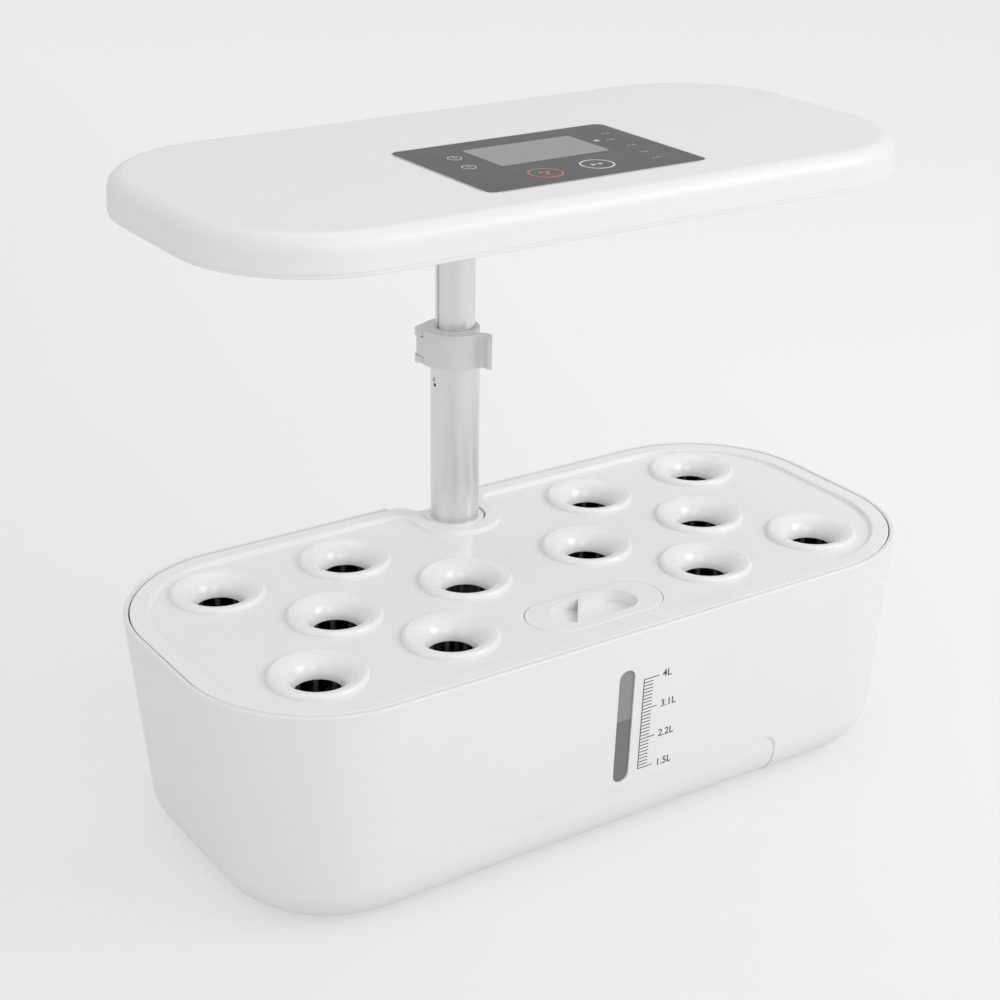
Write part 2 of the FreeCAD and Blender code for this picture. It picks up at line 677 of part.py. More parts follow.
def make_basket():
    """One basket on the Z axis: round flange, trumpet throat and a tapered slotted cage."""
    seat_z = DECK_FLOOR_Z
    crest_z = seat_z + FLANGE_H
    throat_z = crest_z - THROAT_DEPTH
    foot_z = seat_z - CAGE_DEPTH
    edge_z = seat_z + FLANGE_EDGE_H
    reach = FLANGE_CREST_R - THROAT_R
    inside_mid = (THROAT_R + 0.33 * reach, crest_z - 0.33 * THROAT_DEPTH)
    neck_r = THROAT_R + 0.62 * reach
    outside_mid = (THROAT_R + CAGE_WALL + 0.25 * (neck_r - THROAT_R - CAGE_WALL),
                   throat_z + 0.55 * (seat_z - throat_z))
    rim_mid = (FLANGE_R - 0.2 * (FLANGE_R - FLANGE_CREST_R), crest_z - 0.22 * (crest_z - edge_z))
    inner_foot = (CAGE_FOOT_R, foot_z + CAGE_FLOOR_T)
    outer_foot_r = CAGE_FOOT_R + CAGE_WALL
    body = revolve([
        bend((FLANGE_CREST_R, crest_z), inside_mid, (THROAT_R, throat_z)),
        line((THROAT_R, throat_z), inner_foot),
        line(inner_foot, (0, foot_z + CAGE_FLOOR_T)),
        line((0, foot_z + CAGE_FLOOR_T), (0, foot_z)),
        line((0, foot_z), (outer_foot_r, foot_z)),
        line((outer_foot_r, foot_z), (THROAT_R + CAGE_WALL, throat_z)),
        bend((THROAT_R + CAGE_WALL, throat_z), outside_mid, (neck_r, seat_z)),
        line((neck_r, seat_z), (FLANGE_R, seat_z)),
        line((FLANGE_R, seat_z), (FLANGE_R, edge_z)),
        bend((FLANGE_R, edge_z), rim_mid, (FLANGE_CREST_R, crest_z)),
    ])
    slot_low = foot_z + SLOT_LOW_RISE
    slot_high = crest_z - SLOT_TOP_DROP
    tools = []
    for i in range(SLOT_COUNT):
        slot = block(CAGE_FOOT_R - 3.0, THROAT_R + 6.0, -SLOT_W / 2.0, SLOT_W / 2.0, slot_low, slot_high)
        slot.rotate(V(0, 0, 0), UP, i * 360.0 / SLOT_COUNT)
        tools.append(slot)
    for i in range(4):
        tools.append(rod(2.0, CAGE_FLOOR_T + 2.0, 5.0 * math.cos(math.radians(90 * i + 45)),
                         5.0 * math.sin(math.radians(90 * i + 45)), foot_z - 1.0))
    return body.cut(tools)


def make_fill_lid():
    plate = slab(stadium(LID_HALF_RUN, LID_HOLE_R - LID_GAP, LID_SEAT_Z, 0, LID_Y), LID_PLATE_T)
    plate = plate.makeFillet(0.5, level_edges(plate, LID_TOP_Z))
    plug = slab(stadium(LID_HALF_RUN, LID_PLUG_R, LID_SEAT_Z - LID_PLUG_DEPTH, 0, LID_Y), LID_PLUG_DEPTH)
    pocket_z = LID_TOP_Z - LID_POCKET_DEPTH
    pocket = slab(stadium(LID_POCKET_HALF_RUN, LID_POCKET_R, pocket_z, 0, LID_Y), LID_POCKET_DEPTH + 1.0)
    reach = LID_POCKET_HALF_RUN + LID_POCKET_R
    ramp_end = LID_WEB_X + LID_POCKET_R * math.tan(math.radians(LID_WEB_TURN))
    ramp = Part.Face(Part.makePolygon([
        V(-reach - 1.0, LID_Y - LID_POCKET_R - 1.0, pocket_z - 1.0),
        V(ramp_end, LID_Y - LID_POCKET_R - 1.0, pocket_z - 1.0),
        V(ramp_end, LID_Y - LID_POCKET_R - 1.0, pocket_z),
        V(-reach, LID_Y - LID_POCKET_R - 1.0, LID_TOP_Z - 0.4),
        V(-reach - 1.0, LID_Y - LID_POCKET_R - 1.0, LID_TOP_Z - 0.4),
        V(-reach - 1.0, LID_Y - LID_POCKET_R - 1.0, pocket_z - 1.0),
    ])).extrude(V(0, 2.0 * LID_POCKET_R + 2.0, 0))
    span = 2.0 * LID_POCKET_R + 14.0
    web = block(-LID_WEB_T / 2.0, LID_WEB_T / 2.0, -span / 2.0, span / 2.0, pocket_z - 1.0, LID_TOP_Z)
    left_side = block(-2.0 * reach, 0.0, -span, span, pocket_z - 2.0, LID_TOP_Z + 2.0)
    for piece in (web, left_side):
        piece.rotate(V(0, 0, 0), UP, -LID_WEB_TURN)
        piece.translate(V(LID_WEB_X, LID_Y, 0))
    ramp = ramp.common(left_side)
    pocket = pocket.cut([ramp, web])
    return plate.fuse(plug).cut(pocket).removeSplitter()


def make_outer_tube():
    height = OUTER_TUBE_TOP_Z - OUTER_TUBE_LOW_Z
    tube = pipe(OUTER_TUBE_R, OUTER_TUBE_BORE_R, height, 0, POLE_Y, OUTER_TUBE_LOW_Z)
    pin_hole = rod(PIN_R, OUTER_TUBE_R + 1.0, -OUTER_TUBE_R - 1.0, POLE_Y, PIN_Z, V(1, 0, 0))
    drain = rod(DRAIN_R, OUTER_TUBE_R + 1.0, -OUTER_TUBE_R - 1.0, POLE_Y + DRAIN_SHIFT_Y, PIN_Z - DRAIN_DROP,
                V(1, 0, 0))
    lead_hole = rod(LEAD_R + 0.2, OUTER_TUBE_R + 1.0, 0, POLE_Y - OUTER_TUBE_R - 1.0, LEAD_TOP_Z, V(0, 1, 0))
    return tube.cut([pin_hole, drain, lead_hole])


def make_tube_pin():
    start = -OUTER_TUBE_R + PIN_RECESS
    length = OUTER_TUBE_R - PIN_RECESS - INNER_TUBE_R - SLIDE_GAP - 0.2
    pin = rod(PIN_R, length, start, POLE_Y, PIN_Z, V(1, 0, 0))
    return pin.makeFillet(0.3, [e for e in pin.Edges if e.BoundBox.XMax < start + 1e-4])


def make_tube_bush():
    """Sleeve inside the top of the outer tube, with the key that stops the head from turning."""
    low_z = OUTER_TUBE_TOP_Z - BUSH_DEPTH
    drain = rod(DRAIN_R, OUTER_TUBE_R, -OUTER_TUBE_R - 1.0, POLE_Y + DRAIN_SHIFT_Y,
                PIN_Z - DRAIN_DROP, V(1, 0, 0))
    bore_r = INNER_TUBE_R + SLIDE_GAP
    bush = pipe(OUTER_TUBE_BORE_R, bore_r, BUSH_DEPTH, 0, POLE_Y, low_z)
    key_w = GROOVE_W - 2.0 * KEY_GAP
    key_reach = INNER_TUBE_R - GROOVE_DEPTH + KEY_GAP
    key = block(-bore_r - 0.3, -key_reach, POLE_Y - key_w / 2.0, POLE_Y + key_w / 2.0,
                low_z, OUTER_TUBE_TOP_Z)
    pin_hole = rod(PIN_R, OUTER_TUBE_R, -OUTER_TUBE_R - 1.0, POLE_Y, PIN_Z, V(1, 0, 0))
    pin_room = rod(PIN_R, OUTER_TUBE_R - bore_r + 0.8, -OUTER_TUBE_R - 1.0, POLE_Y, PIN_Z, V(1, 0, 0))
    return bush.fuse(key).cut([pin_room.common(pin_hole), drain])


def make_inner_tube():
    height = INNER_TUBE_TOP_Z - INNER_TUBE_LOW_Z
    tube = pipe(INNER_TUBE_R, INNER_TUBE_R - INNER_TUBE_WALL, height, 0, POLE_Y, INNER_TUBE_LOW_Z)
    groove = block(-INNER_TUBE_R - 1.0, -INNER_TUBE_R + GROOVE_DEPTH,
                   POLE_Y - GROOVE_W / 2.0, POLE_Y + GROOVE_W / 2.0, INNER_TUBE_LOW_Z - 1.0,
                   LAMP_LOW_Z - HUB_H - 1.0)
    return tube.cut(groove)


def make_slide_foot():
    """Guide plug in the lower end of the inner tube."""
    disc = rod(OUTER_TUBE_BORE_R - SLIDE_FOOT_GAP, SLIDE_FOOT_H, 0, POLE_Y, INNER_TUBE_LOW_Z - SLIDE_FOOT_H)
    disc = disc.makeFillet(0.8, level_edges(disc, INNER_TUBE_LOW_Z - SLIDE_FOOT_H))
    plug = rod(INNER_TUBE_R - INNER_TUBE_WALL, SLIDE_FOOT_PLUG_H, 0, POLE_Y, INNER_TUBE_LOW_Z)
    bore = rod(HUB_WIRE_R, 2.0 * FOOT_BORE_REACH, 0, POLE_Y, INNER_TUBE_LOW_Z - FOOT_BORE_REACH)
    return disc.fuse(plug).cut(bore)


def two_circles(x0, y0, r0, x1, y1, r1, z, height):
    """Prism over the hull of two circles."""
    run = math.hypot(x1 - x0, y1 - y0)
    turn = math.atan2(y1 - y0, x1 - x0)
    spread = math.acos((r0 - r1) / run)

    def at(cx, cy, r, angle):
        return V(cx + r * math.cos(angle), cy + r * math.sin(angle), z)

    a0, a1 = at(x0, y0, r0, turn + spread), at(x0, y0, r0, turn - spread)
    b0, b1 = at(x1, y1, r1, turn + spread), at(x1, y1, r1, turn - spread)
    wire = Part.Wire([
        arc(a0, at(x0, y0, r0, turn + math.pi), a1),
        Part.LineSegment(a1, b1).toShape(),
        arc(b1, at(x1, y1, r1, turn), b0),
        Part.LineSegment(b0, a0).toShape(),
    ])
    return slab(wire, height)


def make_clamp_collar():
    cx, cy = CLAMP_SHIFT_X, POLE_Y + CLAMP_SHIFT_Y
    hx, hy = HINGE_X, POLE_Y + HINGE_Y
    body = two_circles(cx, cy, CLAMP_R, hx, hy, LUG_R, CLAMP_Z, CLAMP_H)
    body = body.makeFillet(0.6, level_edges(body, CLAMP_Z + CLAMP_H))
    bore = rod(INNER_TUBE_R + SLIDE_GAP, CLAMP_H + 2.0, 0, POLE_Y, CLAMP_Z - 1.0)
    slot_h = CLAMP_H - 2.0 * LUG_T
    barrel_room = rod(LEVER_BARREL_R + LEVER_GAP, slot_h, hx, hy, CLAMP_Z + LUG_T)
    arm_room = block(hx - LUG_R - 2.0, hx + LEVER_BARREL_R + LEVER_GAP, hy - 14.0, hy,
                     CLAMP_Z + LUG_T, CLAMP_Z + LUG_T + slot_h)
    side_room = block(hx - LUG_R - 2.0, hx, hy - 14.0, hy + LUG_R + 2.0,
                      CLAMP_Z + LUG_T, CLAMP_Z + LUG_T + slot_h)
    pin_hole = rod(HINGE_PIN_R, CLAMP_H - 1.2, hx, hy, CLAMP_Z + 0.6)
    lever_room = sector(0, POLE_Y, LEVER_IN_R - LEVER_GAP, LEVER_IN_R + 2.0 * LUG_R, LEVER_START - 2.0,
                        LEVER_END + 10.0, CLAMP_Z - 1.0, CLAMP_H + 2.0)
    swing_room = sector(hx, hy, LUG_R, LUG_R + LEVER_T + 2.0, LEVER_START - 6.0, LEVER_START + 90.0,
                        CLAMP_Z - 1.0, CLAMP_H + 2.0)
    tools = [swing_room, bore, barrel_room, arm_room, side_room, pin_hole, brake_channel(), lever_room]
    return body.cut(tools)


def brake_block(grow, r_in, r_out):
    """Block between the lever's barrel and the inner tube, square to the line between them."""
    turn = math.degrees(math.atan2(HINGE_Y, HINGE_X))
    middle_z = CLAMP_Z + CLAMP_H / 2.0
    half_w = BRAKE_W / 2.0 + grow
    half_h = BRAKE_H / 2.0 + grow
    piece = block(r_in, r_out, -half_w, half_w, middle_z - half_h, middle_z + half_h)
    piece.rotate(V(0, 0, 0), UP, turn)
    piece.translate(V(0, POLE_Y, 0))
    return piece


def brake_channel():
    hinge_r = math.hypot(HINGE_X, HINGE_Y)
    return brake_block(BRAKE_GAP, INNER_TUBE_R - 1.0, hinge_r)


def make_brake_shoe():
    hinge_r = math.hypot(HINGE_X, HINGE_Y)
    shoe = brake_block(0.0, INNER_TUBE_R - 1.0, hinge_r)
    tube_room = rod(INNER_TUBE_R + SLIDE_GAP, 3.0 * CLAMP_H, 0, POLE_Y, CLAMP_Z - CLAMP_H)
    arm_room = lever_arm(LEVER_GAP, CLAMP_Z - CLAMP_H, 3.0 * CLAMP_H)
    return shoe.cut([tube_room, arm_room])


def sector(x, y, r_in, r_out, start, end, z, height):
    """Part of a ring between two angles in degrees."""
    turn = end - start
    outer = Part.makeCylinder(r_out, height, V(x, y, z), UP, turn)
    outer.rotate(V(x, y, z), UP, start)
    return outer.cut(rod(r_in, height, x, y, z))


def lever_arm(grow, low_z, height):
    """Web between the lever's barrel and its band."""
    mid_r = LEVER_IN_R + LEVER_T / 2.0
    start = math.radians(LEVER_START + 4.0)
    return two_circles(HINGE_X, POLE_Y + HINGE_Y, LEVER_BARREL_R + grow, mid_r * math.cos(start),
                       POLE_Y + mid_r * math.sin(start), LEVER_T / 2.0 + grow, low_z, height)


def make_clamp_lever():
    hx, hy = HINGE_X, POLE_Y + HINGE_Y
    mid_r = LEVER_IN_R + LEVER_T / 2.0
    band = sector(0, POLE_Y, LEVER_IN_R, LEVER_IN_R + LEVER_T, LEVER_START, LEVER_END, CLAMP_Z, CLAMP_H)
    end = math.radians(LEVER_END)
    out_x, out_y = math.cos(end), math.sin(end)
    tab_x = (mid_r + TAB_R) * out_x
    tab_y = POLE_Y + (mid_r + TAB_R) * out_y
    tab_start = LEVER_END - 180.0
    tab = sector(tab_x, tab_y, TAB_R - LEVER_T / 2.0, TAB_R + LEVER_T / 2.0,
                 tab_start - TAB_TURN, tab_start, CLAMP_Z, CLAMP_H)
    free = math.radians(tab_start - TAB_TURN)
    free_end = V(tab_x + TAB_R * math.cos(free), tab_y + TAB_R * math.sin(free), 0)
    corners = [
        e for e in tab.Edges
        if e.BoundBox.ZLength < 0.01 and e.Length < LEVER_T + 0.1
        and (V(e.CenterOfMass.x, e.CenterOfMass.y, 0) - free_end).Length < 0.5
    ]
    tab = tab.makeFillet(TAB_CORNER_R, corners)
    arm = lever_arm(0.0, CLAMP_Z + LUG_T + LEVER_GAP, CLAMP_H - 2.0 * LUG_T - 2.0 * LEVER_GAP)
    lever = band.fuse([tab, arm]).removeSplitter()
    return lever.cut(rod(HINGE_PIN_R + HINGE_PIN_GAP, CLAMP_H, hx, hy, CLAMP_Z))


def make_hinge_pin():
    return rod(HINGE_PIN_R, CLAMP_H - 1.2, HINGE_X, POLE_Y + HINGE_Y, CLAMP_Z + 0.6)


def lamp_wire(z, inset):
    return rounded_rect(LAMP_HALF_X - inset, LAMP_HALF_Y - inset, LAMP_CORNER_R - inset, z, 0.0, LAMP_Y)


def lamp_screw_places():
    x = LAMP_HALF_X - LAMP_SCREW_INSET
    y = LAMP_HALF_Y - LAMP_SCREW_INSET
    return [
        (sx * px, LAMP_Y + sy * py)
        for sx in (-1, 1) for sy in (-1, 1)
        for px, py in ((x, 0.35 * y), (0.5 * x, y))
    ]


def hub_screw_places():
    return [
        (HUB_SCREW_PCD_R * math.cos(math.radians(45 + 90 * i)),
         POLE_Y + HUB_SCREW_PCD_R * math.sin(math.radians(45 + 90 * i)))
        for i in range(4)
    ]


def board_screw_places():
    x = DIFFUSER_HALF_X + BOARD_MARGIN - BOARD_BOSS_R
    y = DIFFUSER_HALF_Y + BOARD_MARGIN - BOARD_BOSS_R
    return [(sx * px, DIFFUSER_Y + sy * y) for sx in (-1, 1) for sy in (-1, 1) for px in (x, x / 3.0)]


def control_screw_places():
    return [(sx * CONTROL_SCREW_X, PANEL_Y + sy * CONTROL_SCREW_Y) for sx in (-1, 1) for sy in (-1, 1)]


def jack_back_y():
    return LAMP_Y + LAMP_HALF_Y - LAMP_SIDE_LEAN / 2.0


def make_lamp_top_cover():
    outer = Part.makeLoft([lamp_wire(COVER_JOINT_Z, 0.0), lamp_wire(LAMP_TOP_Z, LAMP_SIDE_LEAN)], True, True)
    outer = outer.makeFillet(LAMP_EDGE_R, level_edges(outer, LAMP_TOP_Z))
    inner = Part.makeLoft([lamp_wire(COVER_JOINT_Z - 1.0, LAMP_WALL),
                           lamp_wire(LAMP_CEILING_Z, LAMP_WALL + LAMP_SIDE_LEAN)], True, True)
    inner = inner.makeFillet(LAMP_EDGE_R - LAMP_WALL, level_edges(inner, LAMP_CEILING_Z))
    cover = outer.cut(inner)
    bosses = [rod(LAMP_BOSS_R, LAMP_CEILING_Z - COVER_JOINT_Z + 0.5, x, y, COVER_JOINT_Z)
              for x, y in lamp_screw_places()]
    bosses += [rod(CONTROL_BOSS_R, LAMP_CEILING_Z - LCD_LOW_Z + 0.5, x, y, LCD_LOW_Z)
               for x, y in control_screw_places()]
    cover = cover.fuse([b.common(outer) for b in bosses])
    pocket = slab(rounded_rect(PANEL_HALF_X + PANEL_GAP, PANEL_HALF_Y + PANEL_GAP,
                               PANEL_CORNER_R + PANEL_GAP, LAMP_TOP_Z - PANEL_T,
                               PANEL_X, PANEL_Y), PANEL_T + 1.0)
    window_wire = rounded_rect(LCD_HALF_X, LCD_HALF_Y, 1.5, LAMP_CEILING_Z - 1.0, LCD_X, LCD_Y)
    window = slab(window_wire, LAMP_WALL + 2.0)
    jack_hole = rod(JACK_BARREL_R + JACK_GAP, 12.0, JACK_X, jack_back_y() - 8.0, JACK_Z, V(0, 1, 0))
    tools = [pocket, window, jack_hole]
    tools += [rod(LAMP_SCREW_R, LAMP_SCREW_L, x, y, LAMP_LOW_Z) for x, y in lamp_screw_places()]
    tools += [rod(BOARD_SCREW_R, 1.9, x, y, LCD_LOW_Z) for x, y in control_screw_places()]
    return cover.cut(tools)


def make_lamp_bottom_cover():
    plate = slab(lamp_wire(LAMP_LOW_Z, LAMP_SHADOW_GAP), LAMP_COVER_T)
    plate = plate.makeFillet(LAMP_LOWER_EDGE_R, level_edges(plate, LAMP_LOW_Z))
    rim_in = LAMP_WALL + LAMP_RIM_GAP
    rim = slab(lamp_wire(COVER_JOINT_Z, rim_in), LAMP_RIM_H)
    rim = rim.cut(slab(lamp_wire(COVER_JOINT_Z, rim_in + LAMP_RIM_T), LAMP_RIM_H))
    jack_room = block(JACK_X - JACK_BODY_X / 2.0 - 1.0, JACK_X + JACK_BODY_X / 2.0 + 1.0,
                      LAMP_Y + LAMP_HALF_Y - 12.0, LAMP_Y + LAMP_HALF_Y, COVER_JOINT_Z, COVER_JOINT_Z + LAMP_RIM_H)
    rim = rim.cut(jack_room)
    posts = [rod(BOARD_BOSS_R, BOARD_RISE, x, y, COVER_JOINT_Z) for x, y in board_screw_places()]
    posts += [rod(HUB_BOSS_R, HUB_BOSS_H, x, y, COVER_JOINT_Z) for x, y in hub_screw_places()]
    shelf_h = JACK_Z - JACK_BODY_Z / 2.0 - COVER_JOINT_Z
    shelf = block(JACK_X - JACK_BODY_X / 2.0, JACK_X + JACK_BODY_X / 2.0,
                  jack_back_y() - 3.0 - JACK_BODY_Y, jack_back_y() - 3.0,
                  COVER_JOINT_Z, COVER_JOINT_Z + shelf_h)
    cover = plate.fuse([rim, shelf] + posts)
    tools = [slab(rounded_rect(DIFFUSER_HALF_X, DIFFUSER_HALF_Y, DIFFUSER_CORNER_R,
                               LAMP_LOW_Z - 1.0, 0.0, DIFFUSER_Y), LAMP_COVER_T + 2.0)]
    tools.append(rod(HUB_WIRE_R, LAMP_COVER_T + 2.0, 0, POLE_Y, LAMP_LOW_Z - 1.0))
    for x, y in lamp_screw_places():
        tools.append(rod(LAMP_SCREW_R + 0.2, LAMP_COVER_T, x, y, LAMP_LOW_Z))
        tools.append(rod(LAMP_SCREW_HEAD_R + 0.2, LAMP_SCREW_HEAD_T, x, y, LAMP_LOW_Z))
    tools += [rod(HUB_SCREW_R, HUB_SCREW_L, x, y, LAMP_LOW_Z - HUB_FLANGE_T + HUB_SCREW_HEAD_T)
              for x, y in hub_screw_places()]
    tools += [rod(BOARD_SCREW_R, BOARD_RISE - 0.6, x, y, COVER_JOINT_Z + 0.6)
              for x, y in board_screw_places()]
    return cover.cut(tools)


def make_lamp_screws():
    screws = []
    for x, y in lamp_screw_places():
        head = rod(LAMP_SCREW_HEAD_R, LAMP_SCREW_HEAD_T - 0.3, x, y, LAMP_LOW_Z + 0.3)
        shank = rod(LAMP_SCREW_R, LAMP_SCREW_L - LAMP_SCREW_HEAD_T, x, y, LAMP_LOW_Z + LAMP_SCREW_HEAD_T)
        drive = rod(1.2, 0.7, x, y, LAMP_LOW_Z + 0.3)
        screws.append(head.fuse(shank).cut(drive))
    return Part.makeCompound(screws)


def make_light_diffuser():
    gap = DIFFUSER_GAP
    lens = slab(rounded_rect(DIFFUSER_HALF_X - gap, DIFFUSER_HALF_Y - gap, DIFFUSER_CORNER_R - gap,
                             LAMP_LOW_Z + 0.4, 0.0, DIFFUSER_Y), LAMP_COVER_T - 0.4)
    grow = DIFFUSER_FLANGE
    flange = slab(rounded_rect(DIFFUSER_HALF_X + grow, DIFFUSER_HALF_Y + grow, DIFFUSER_CORNER_R + grow,
                               COVER_JOINT_Z, 0.0, DIFFUSER_Y), DIFFUSER_FLANGE_T)
    return lens.fuse(flange).removeSplitter()


def make_led_board():
    board = slab(rounded_rect(DIFFUSER_HALF_X + BOARD_MARGIN, DIFFUSER_HALF_Y + BOARD_MARGIN, 4.0,
                              BOARD_LOW_Z, 0.0, DIFFUSER_Y), BOARD_T)
    holes = [rod(BOARD_SCREW_R + 0.1, BOARD_T, x, y, BOARD_LOW_Z) for x, y in board_screw_places()]
    return board.cut(holes)


def make_led_chips():
    chips = []
    for row in range(LED_ROWS):
        for column in range(LED_COLUMNS):
            x = (column - (LED_COLUMNS - 1) / 2.0) * LED_PITCH_X
            y = DIFFUSER_Y + (row - (LED_ROWS - 1) / 2.0) * LED_PITCH_Y
            chips.append(block(x - LED_X / 2.0, x + LED_X / 2.0, y - LED_Y / 2.0, y + LED_Y / 2.0,
                               BOARD_LOW_Z - LED_T, BOARD_LOW_Z))
    return Part.makeCompound(chips)


def make_board_screws():
    """Screws of the LED board, from above, and of the control board, from below."""
    screws = []
    for x, y in board_screw_places():
        top = BOARD_LOW_Z + BOARD_T
        head = rod(BOARD_SCREW_HEAD_R, BOARD_SCREW_HEAD_T, x, y, top)
        shank = rod(BOARD_SCREW_R, BOARD_T + BOARD_RISE - 0.8, x, y, COVER_JOINT_Z + 0.8)
        screws.append(head.fuse(shank))
    for x, y in control_screw_places():
        head = rod(BOARD_SCREW_HEAD_R, BOARD_SCREW_HEAD_T, x, y, CONTROL_LOW_Z - BOARD_SCREW_HEAD_T)
        shank = rod(BOARD_SCREW_R, CONTROL_T + 1.7, x, y, CONTROL_LOW_Z)
        screws.append(head.fuse(shank))
    return Part.makeCompound(screws)


def make_display_panel():
    panel = slab(rounded_rect(PANEL_HALF_X, PANEL_HALF_Y, PANEL_CORNER_R,
                              LAMP_TOP_Z - PANEL_T, PANEL_X, PANEL_Y), PANEL_T)
    return panel.makeFillet(0.25, level_edges(panel, LAMP_TOP_Z))


def make_lcd_module():
    module = slab(rounded_rect(LCD_HALF_X - LCD_FRAME, LCD_HALF_Y - LCD_FRAME, 1.0,
                               LCD_LOW_Z, LCD_X, LCD_Y), LCD_T + LAMP_WALL - PANEL_T)
    return module


def make_control_board():
    board = slab(rounded_rect(CONTROL_HALF_X, CONTROL_HALF_Y, 2.0, CONTROL_LOW_Z, 0.0, PANEL_Y), CONTROL_T)
    parts = [
        block(-30.0, -18.0, PANEL_Y - 22.0, PANEL_Y - 12.0, CONTROL_LOW_Z - 1.4, CONTROL_LOW_Z),
        block(8.0, 22.0, PANEL_Y - 20.0, PANEL_Y - 6.0, CONTROL_LOW_Z - 1.2, CONTROL_LOW_Z),
        block(-12.0, -2.0, PANEL_Y + 14.0, PANEL_Y + 24.0, CONTROL_LOW_Z - 2.0, CONTROL_LOW_Z),
    ]
    holes = [rod(BOARD_SCREW_R + 0.1, CONTROL_T, x, y, CONTROL_LOW_Z) for x, y in control_screw_places()]
    return board.fuse(parts).cut(holes)


def make_lamp_hub():
    low_z = LAMP_LOW_Z - HUB_H
    flange_z = LAMP_LOW_Z - HUB_FLANGE_T
    neck = rod(HUB_NECK_R, HUB_H, 0, POLE_Y, low_z)
    neck = neck.makeFillet(1.0, level_edges(neck, low_z))
    flange = rod(HUB_R, HUB_FLANGE_T, 0, POLE_Y, flange_z)
    flange = flange.makeFillet(1.0, level_edges(flange, flange_z))
    bore_r = INNER_TUBE_R + HUB_FIT
    tools = [
        rod(bore_r, HUB_H - HUB_CAP_T, 0, POLE_Y, low_z),
        rod(HUB_WIRE_R, HUB_H, 0, POLE_Y, low_z),
    ]
    for x, y in hub_screw_places():
        tools.append(rod(HUB_SCREW_R + 0.15, HUB_FLANGE_T, x, y, flange_z))
        tools.append(rod(HUB_SCREW_HEAD_R + 0.2, HUB_SCREW_HEAD_T, x, y, flange_z))
    return neck.fuse(flange).cut(tools)


def make_hub_screws():
    screws = []
    flange_z = LAMP_LOW_Z - HUB_FLANGE_T
    for x, y in hub_screw_places():
        head = rod(HUB_SCREW_HEAD_R, HUB_SCREW_HEAD_T - 0.3, x, y, flange_z + 0.3)
        shank = rod(HUB_SCREW_R, HUB_SCREW_L - 0.3, x, y, flange_z + HUB_SCREW_HEAD_T)
        drive = rod(1.2, 0.8, x, y, flange_z + 0.3)
        screws.append(head.fuse(shank).cut(drive))
    return Part.makeCompound(screws)


def make_dc_jack():
    back_y = jack_back_y()
    barrel_l = 6.0
    barrel = rod(JACK_BARREL_R, barrel_l, JACK_X, back_y - barrel_l, JACK_Z, V(0, 1, 0))
    body = block(JACK_X - JACK_BODY_X / 2.0, JACK_X + JACK_BODY_X / 2.0,
                 back_y - 3.0 - JACK_BODY_Y, back_y - 3.0,
                 JACK_Z - JACK_BODY_Z / 2.0, JACK_Z + JACK_BODY_Z / 2.0)
    hole = rod(JACK_HOLE_R, JACK_HOLE_DEPTH, JACK_X, back_y - JACK_HOLE_DEPTH, JACK_Z, V(0, 1, 0))
    pin = rod(JACK_PIN_R, JACK_HOLE_DEPTH - 1.0, JACK_X, back_y - JACK_HOLE_DEPTH, JACK_Z, V(0, 1, 0))
    return barrel.fuse(body).cut(hole).fuse(pin)


def pump_axis_rod(radius, length, y):
    return rod(radius, length, 0, y, PUMP_AXIS_Z, V(0, 1, 0))


def chamber_r():
    return IMPELLER_R + IMPELLER_GAP


def make_pump_body():
    body = block(-PUMP_HALF_X, PUMP_HALF_X, PUMP_FRONT_Y + PUMP_COVER_T, PUMP_Y + PUMP_HALF_Y,
                 PUMP_LOW_Z, PUMP_LOW_Z + PUMP_H)
    long_edges = [e for e in body.Edges if e.BoundBox.YLength > 5.0]
    body = body.makeFillet(PUMP_EDGE_R, long_edges)
    well = pump_axis_rod(ROTOR_R + IMPELLER_GAP, ROTOR_L + 1.0, PUMP_FRONT_Y + PUMP_COVER_T - 0.001)
    shaft_hole = pump_axis_rod(SHAFT_R, 3.0, PUMP_FRONT_Y + PUMP_COVER_T + ROTOR_L + 0.5)
    gland = rod(LEAD_R, 3.0, 0, PUMP_Y + PUMP_HALF_Y - 3.0, PUMP_LOW_Z + LEAD_LOW_RISE, V(0, 1, 0))
    return body.cut([well, shaft_hole, gland])


def make_pump_cover():
    joint_y = PUMP_FRONT_Y + PUMP_COVER_T
    cover = block(-PUMP_HALF_X, PUMP_HALF_X, PUMP_FRONT_Y, joint_y, PUMP_LOW_Z, PUMP_LOW_Z + PUMP_H)
    long_edges = [e for e in cover.Edges if e.BoundBox.YLength > 5.0]
    cover = cover.makeFillet(PUMP_EDGE_R, long_edges)
    nozzle_y = PUMP_FRONT_Y + PUMP_COVER_T / 2.0 + 0.3
    nozzle_z = PUMP_LOW_Z + PUMP_H - 1.0
    nozzle = rod(NOZZLE_R - 0.5, NOZZLE_H + 1.0, 0, nozzle_y, nozzle_z)
    nozzle = nozzle.fuse(rod(NOZZLE_R, 1.6, 0, nozzle_y, nozzle_z + NOZZLE_H - 3.0))
    chamber = pump_axis_rod(chamber_r(), IMPELLER_W + 2.0 * IMPELLER_GAP,
                            joint_y - IMPELLER_W - 2.0 * IMPELLER_GAP)
    outlet = rod(NOZZLE_BORE_R, PUMP_H, 0, nozzle_y, PUMP_AXIS_Z)
    shaft_hole = pump_axis_rod(SHAFT_R, 2.0, PUMP_FRONT_Y + 0.6)
    intake = []
    for i in range(INTAKE_SLOTS):
        x = (i - (INTAKE_SLOTS - 1) / 2.0) * 2.6
        if abs(x) > 0.1:
            intake.append(block(x - INTAKE_SLOT_W / 2.0, x + INTAKE_SLOT_W / 2.0, PUMP_FRONT_Y - 1.0,
                                joint_y - 3.0, PUMP_AXIS_Z - 5.0, PUMP_AXIS_Z + 5.0))
    return cover.fuse(nozzle).cut([chamber, outlet, shaft_hole] + intake)


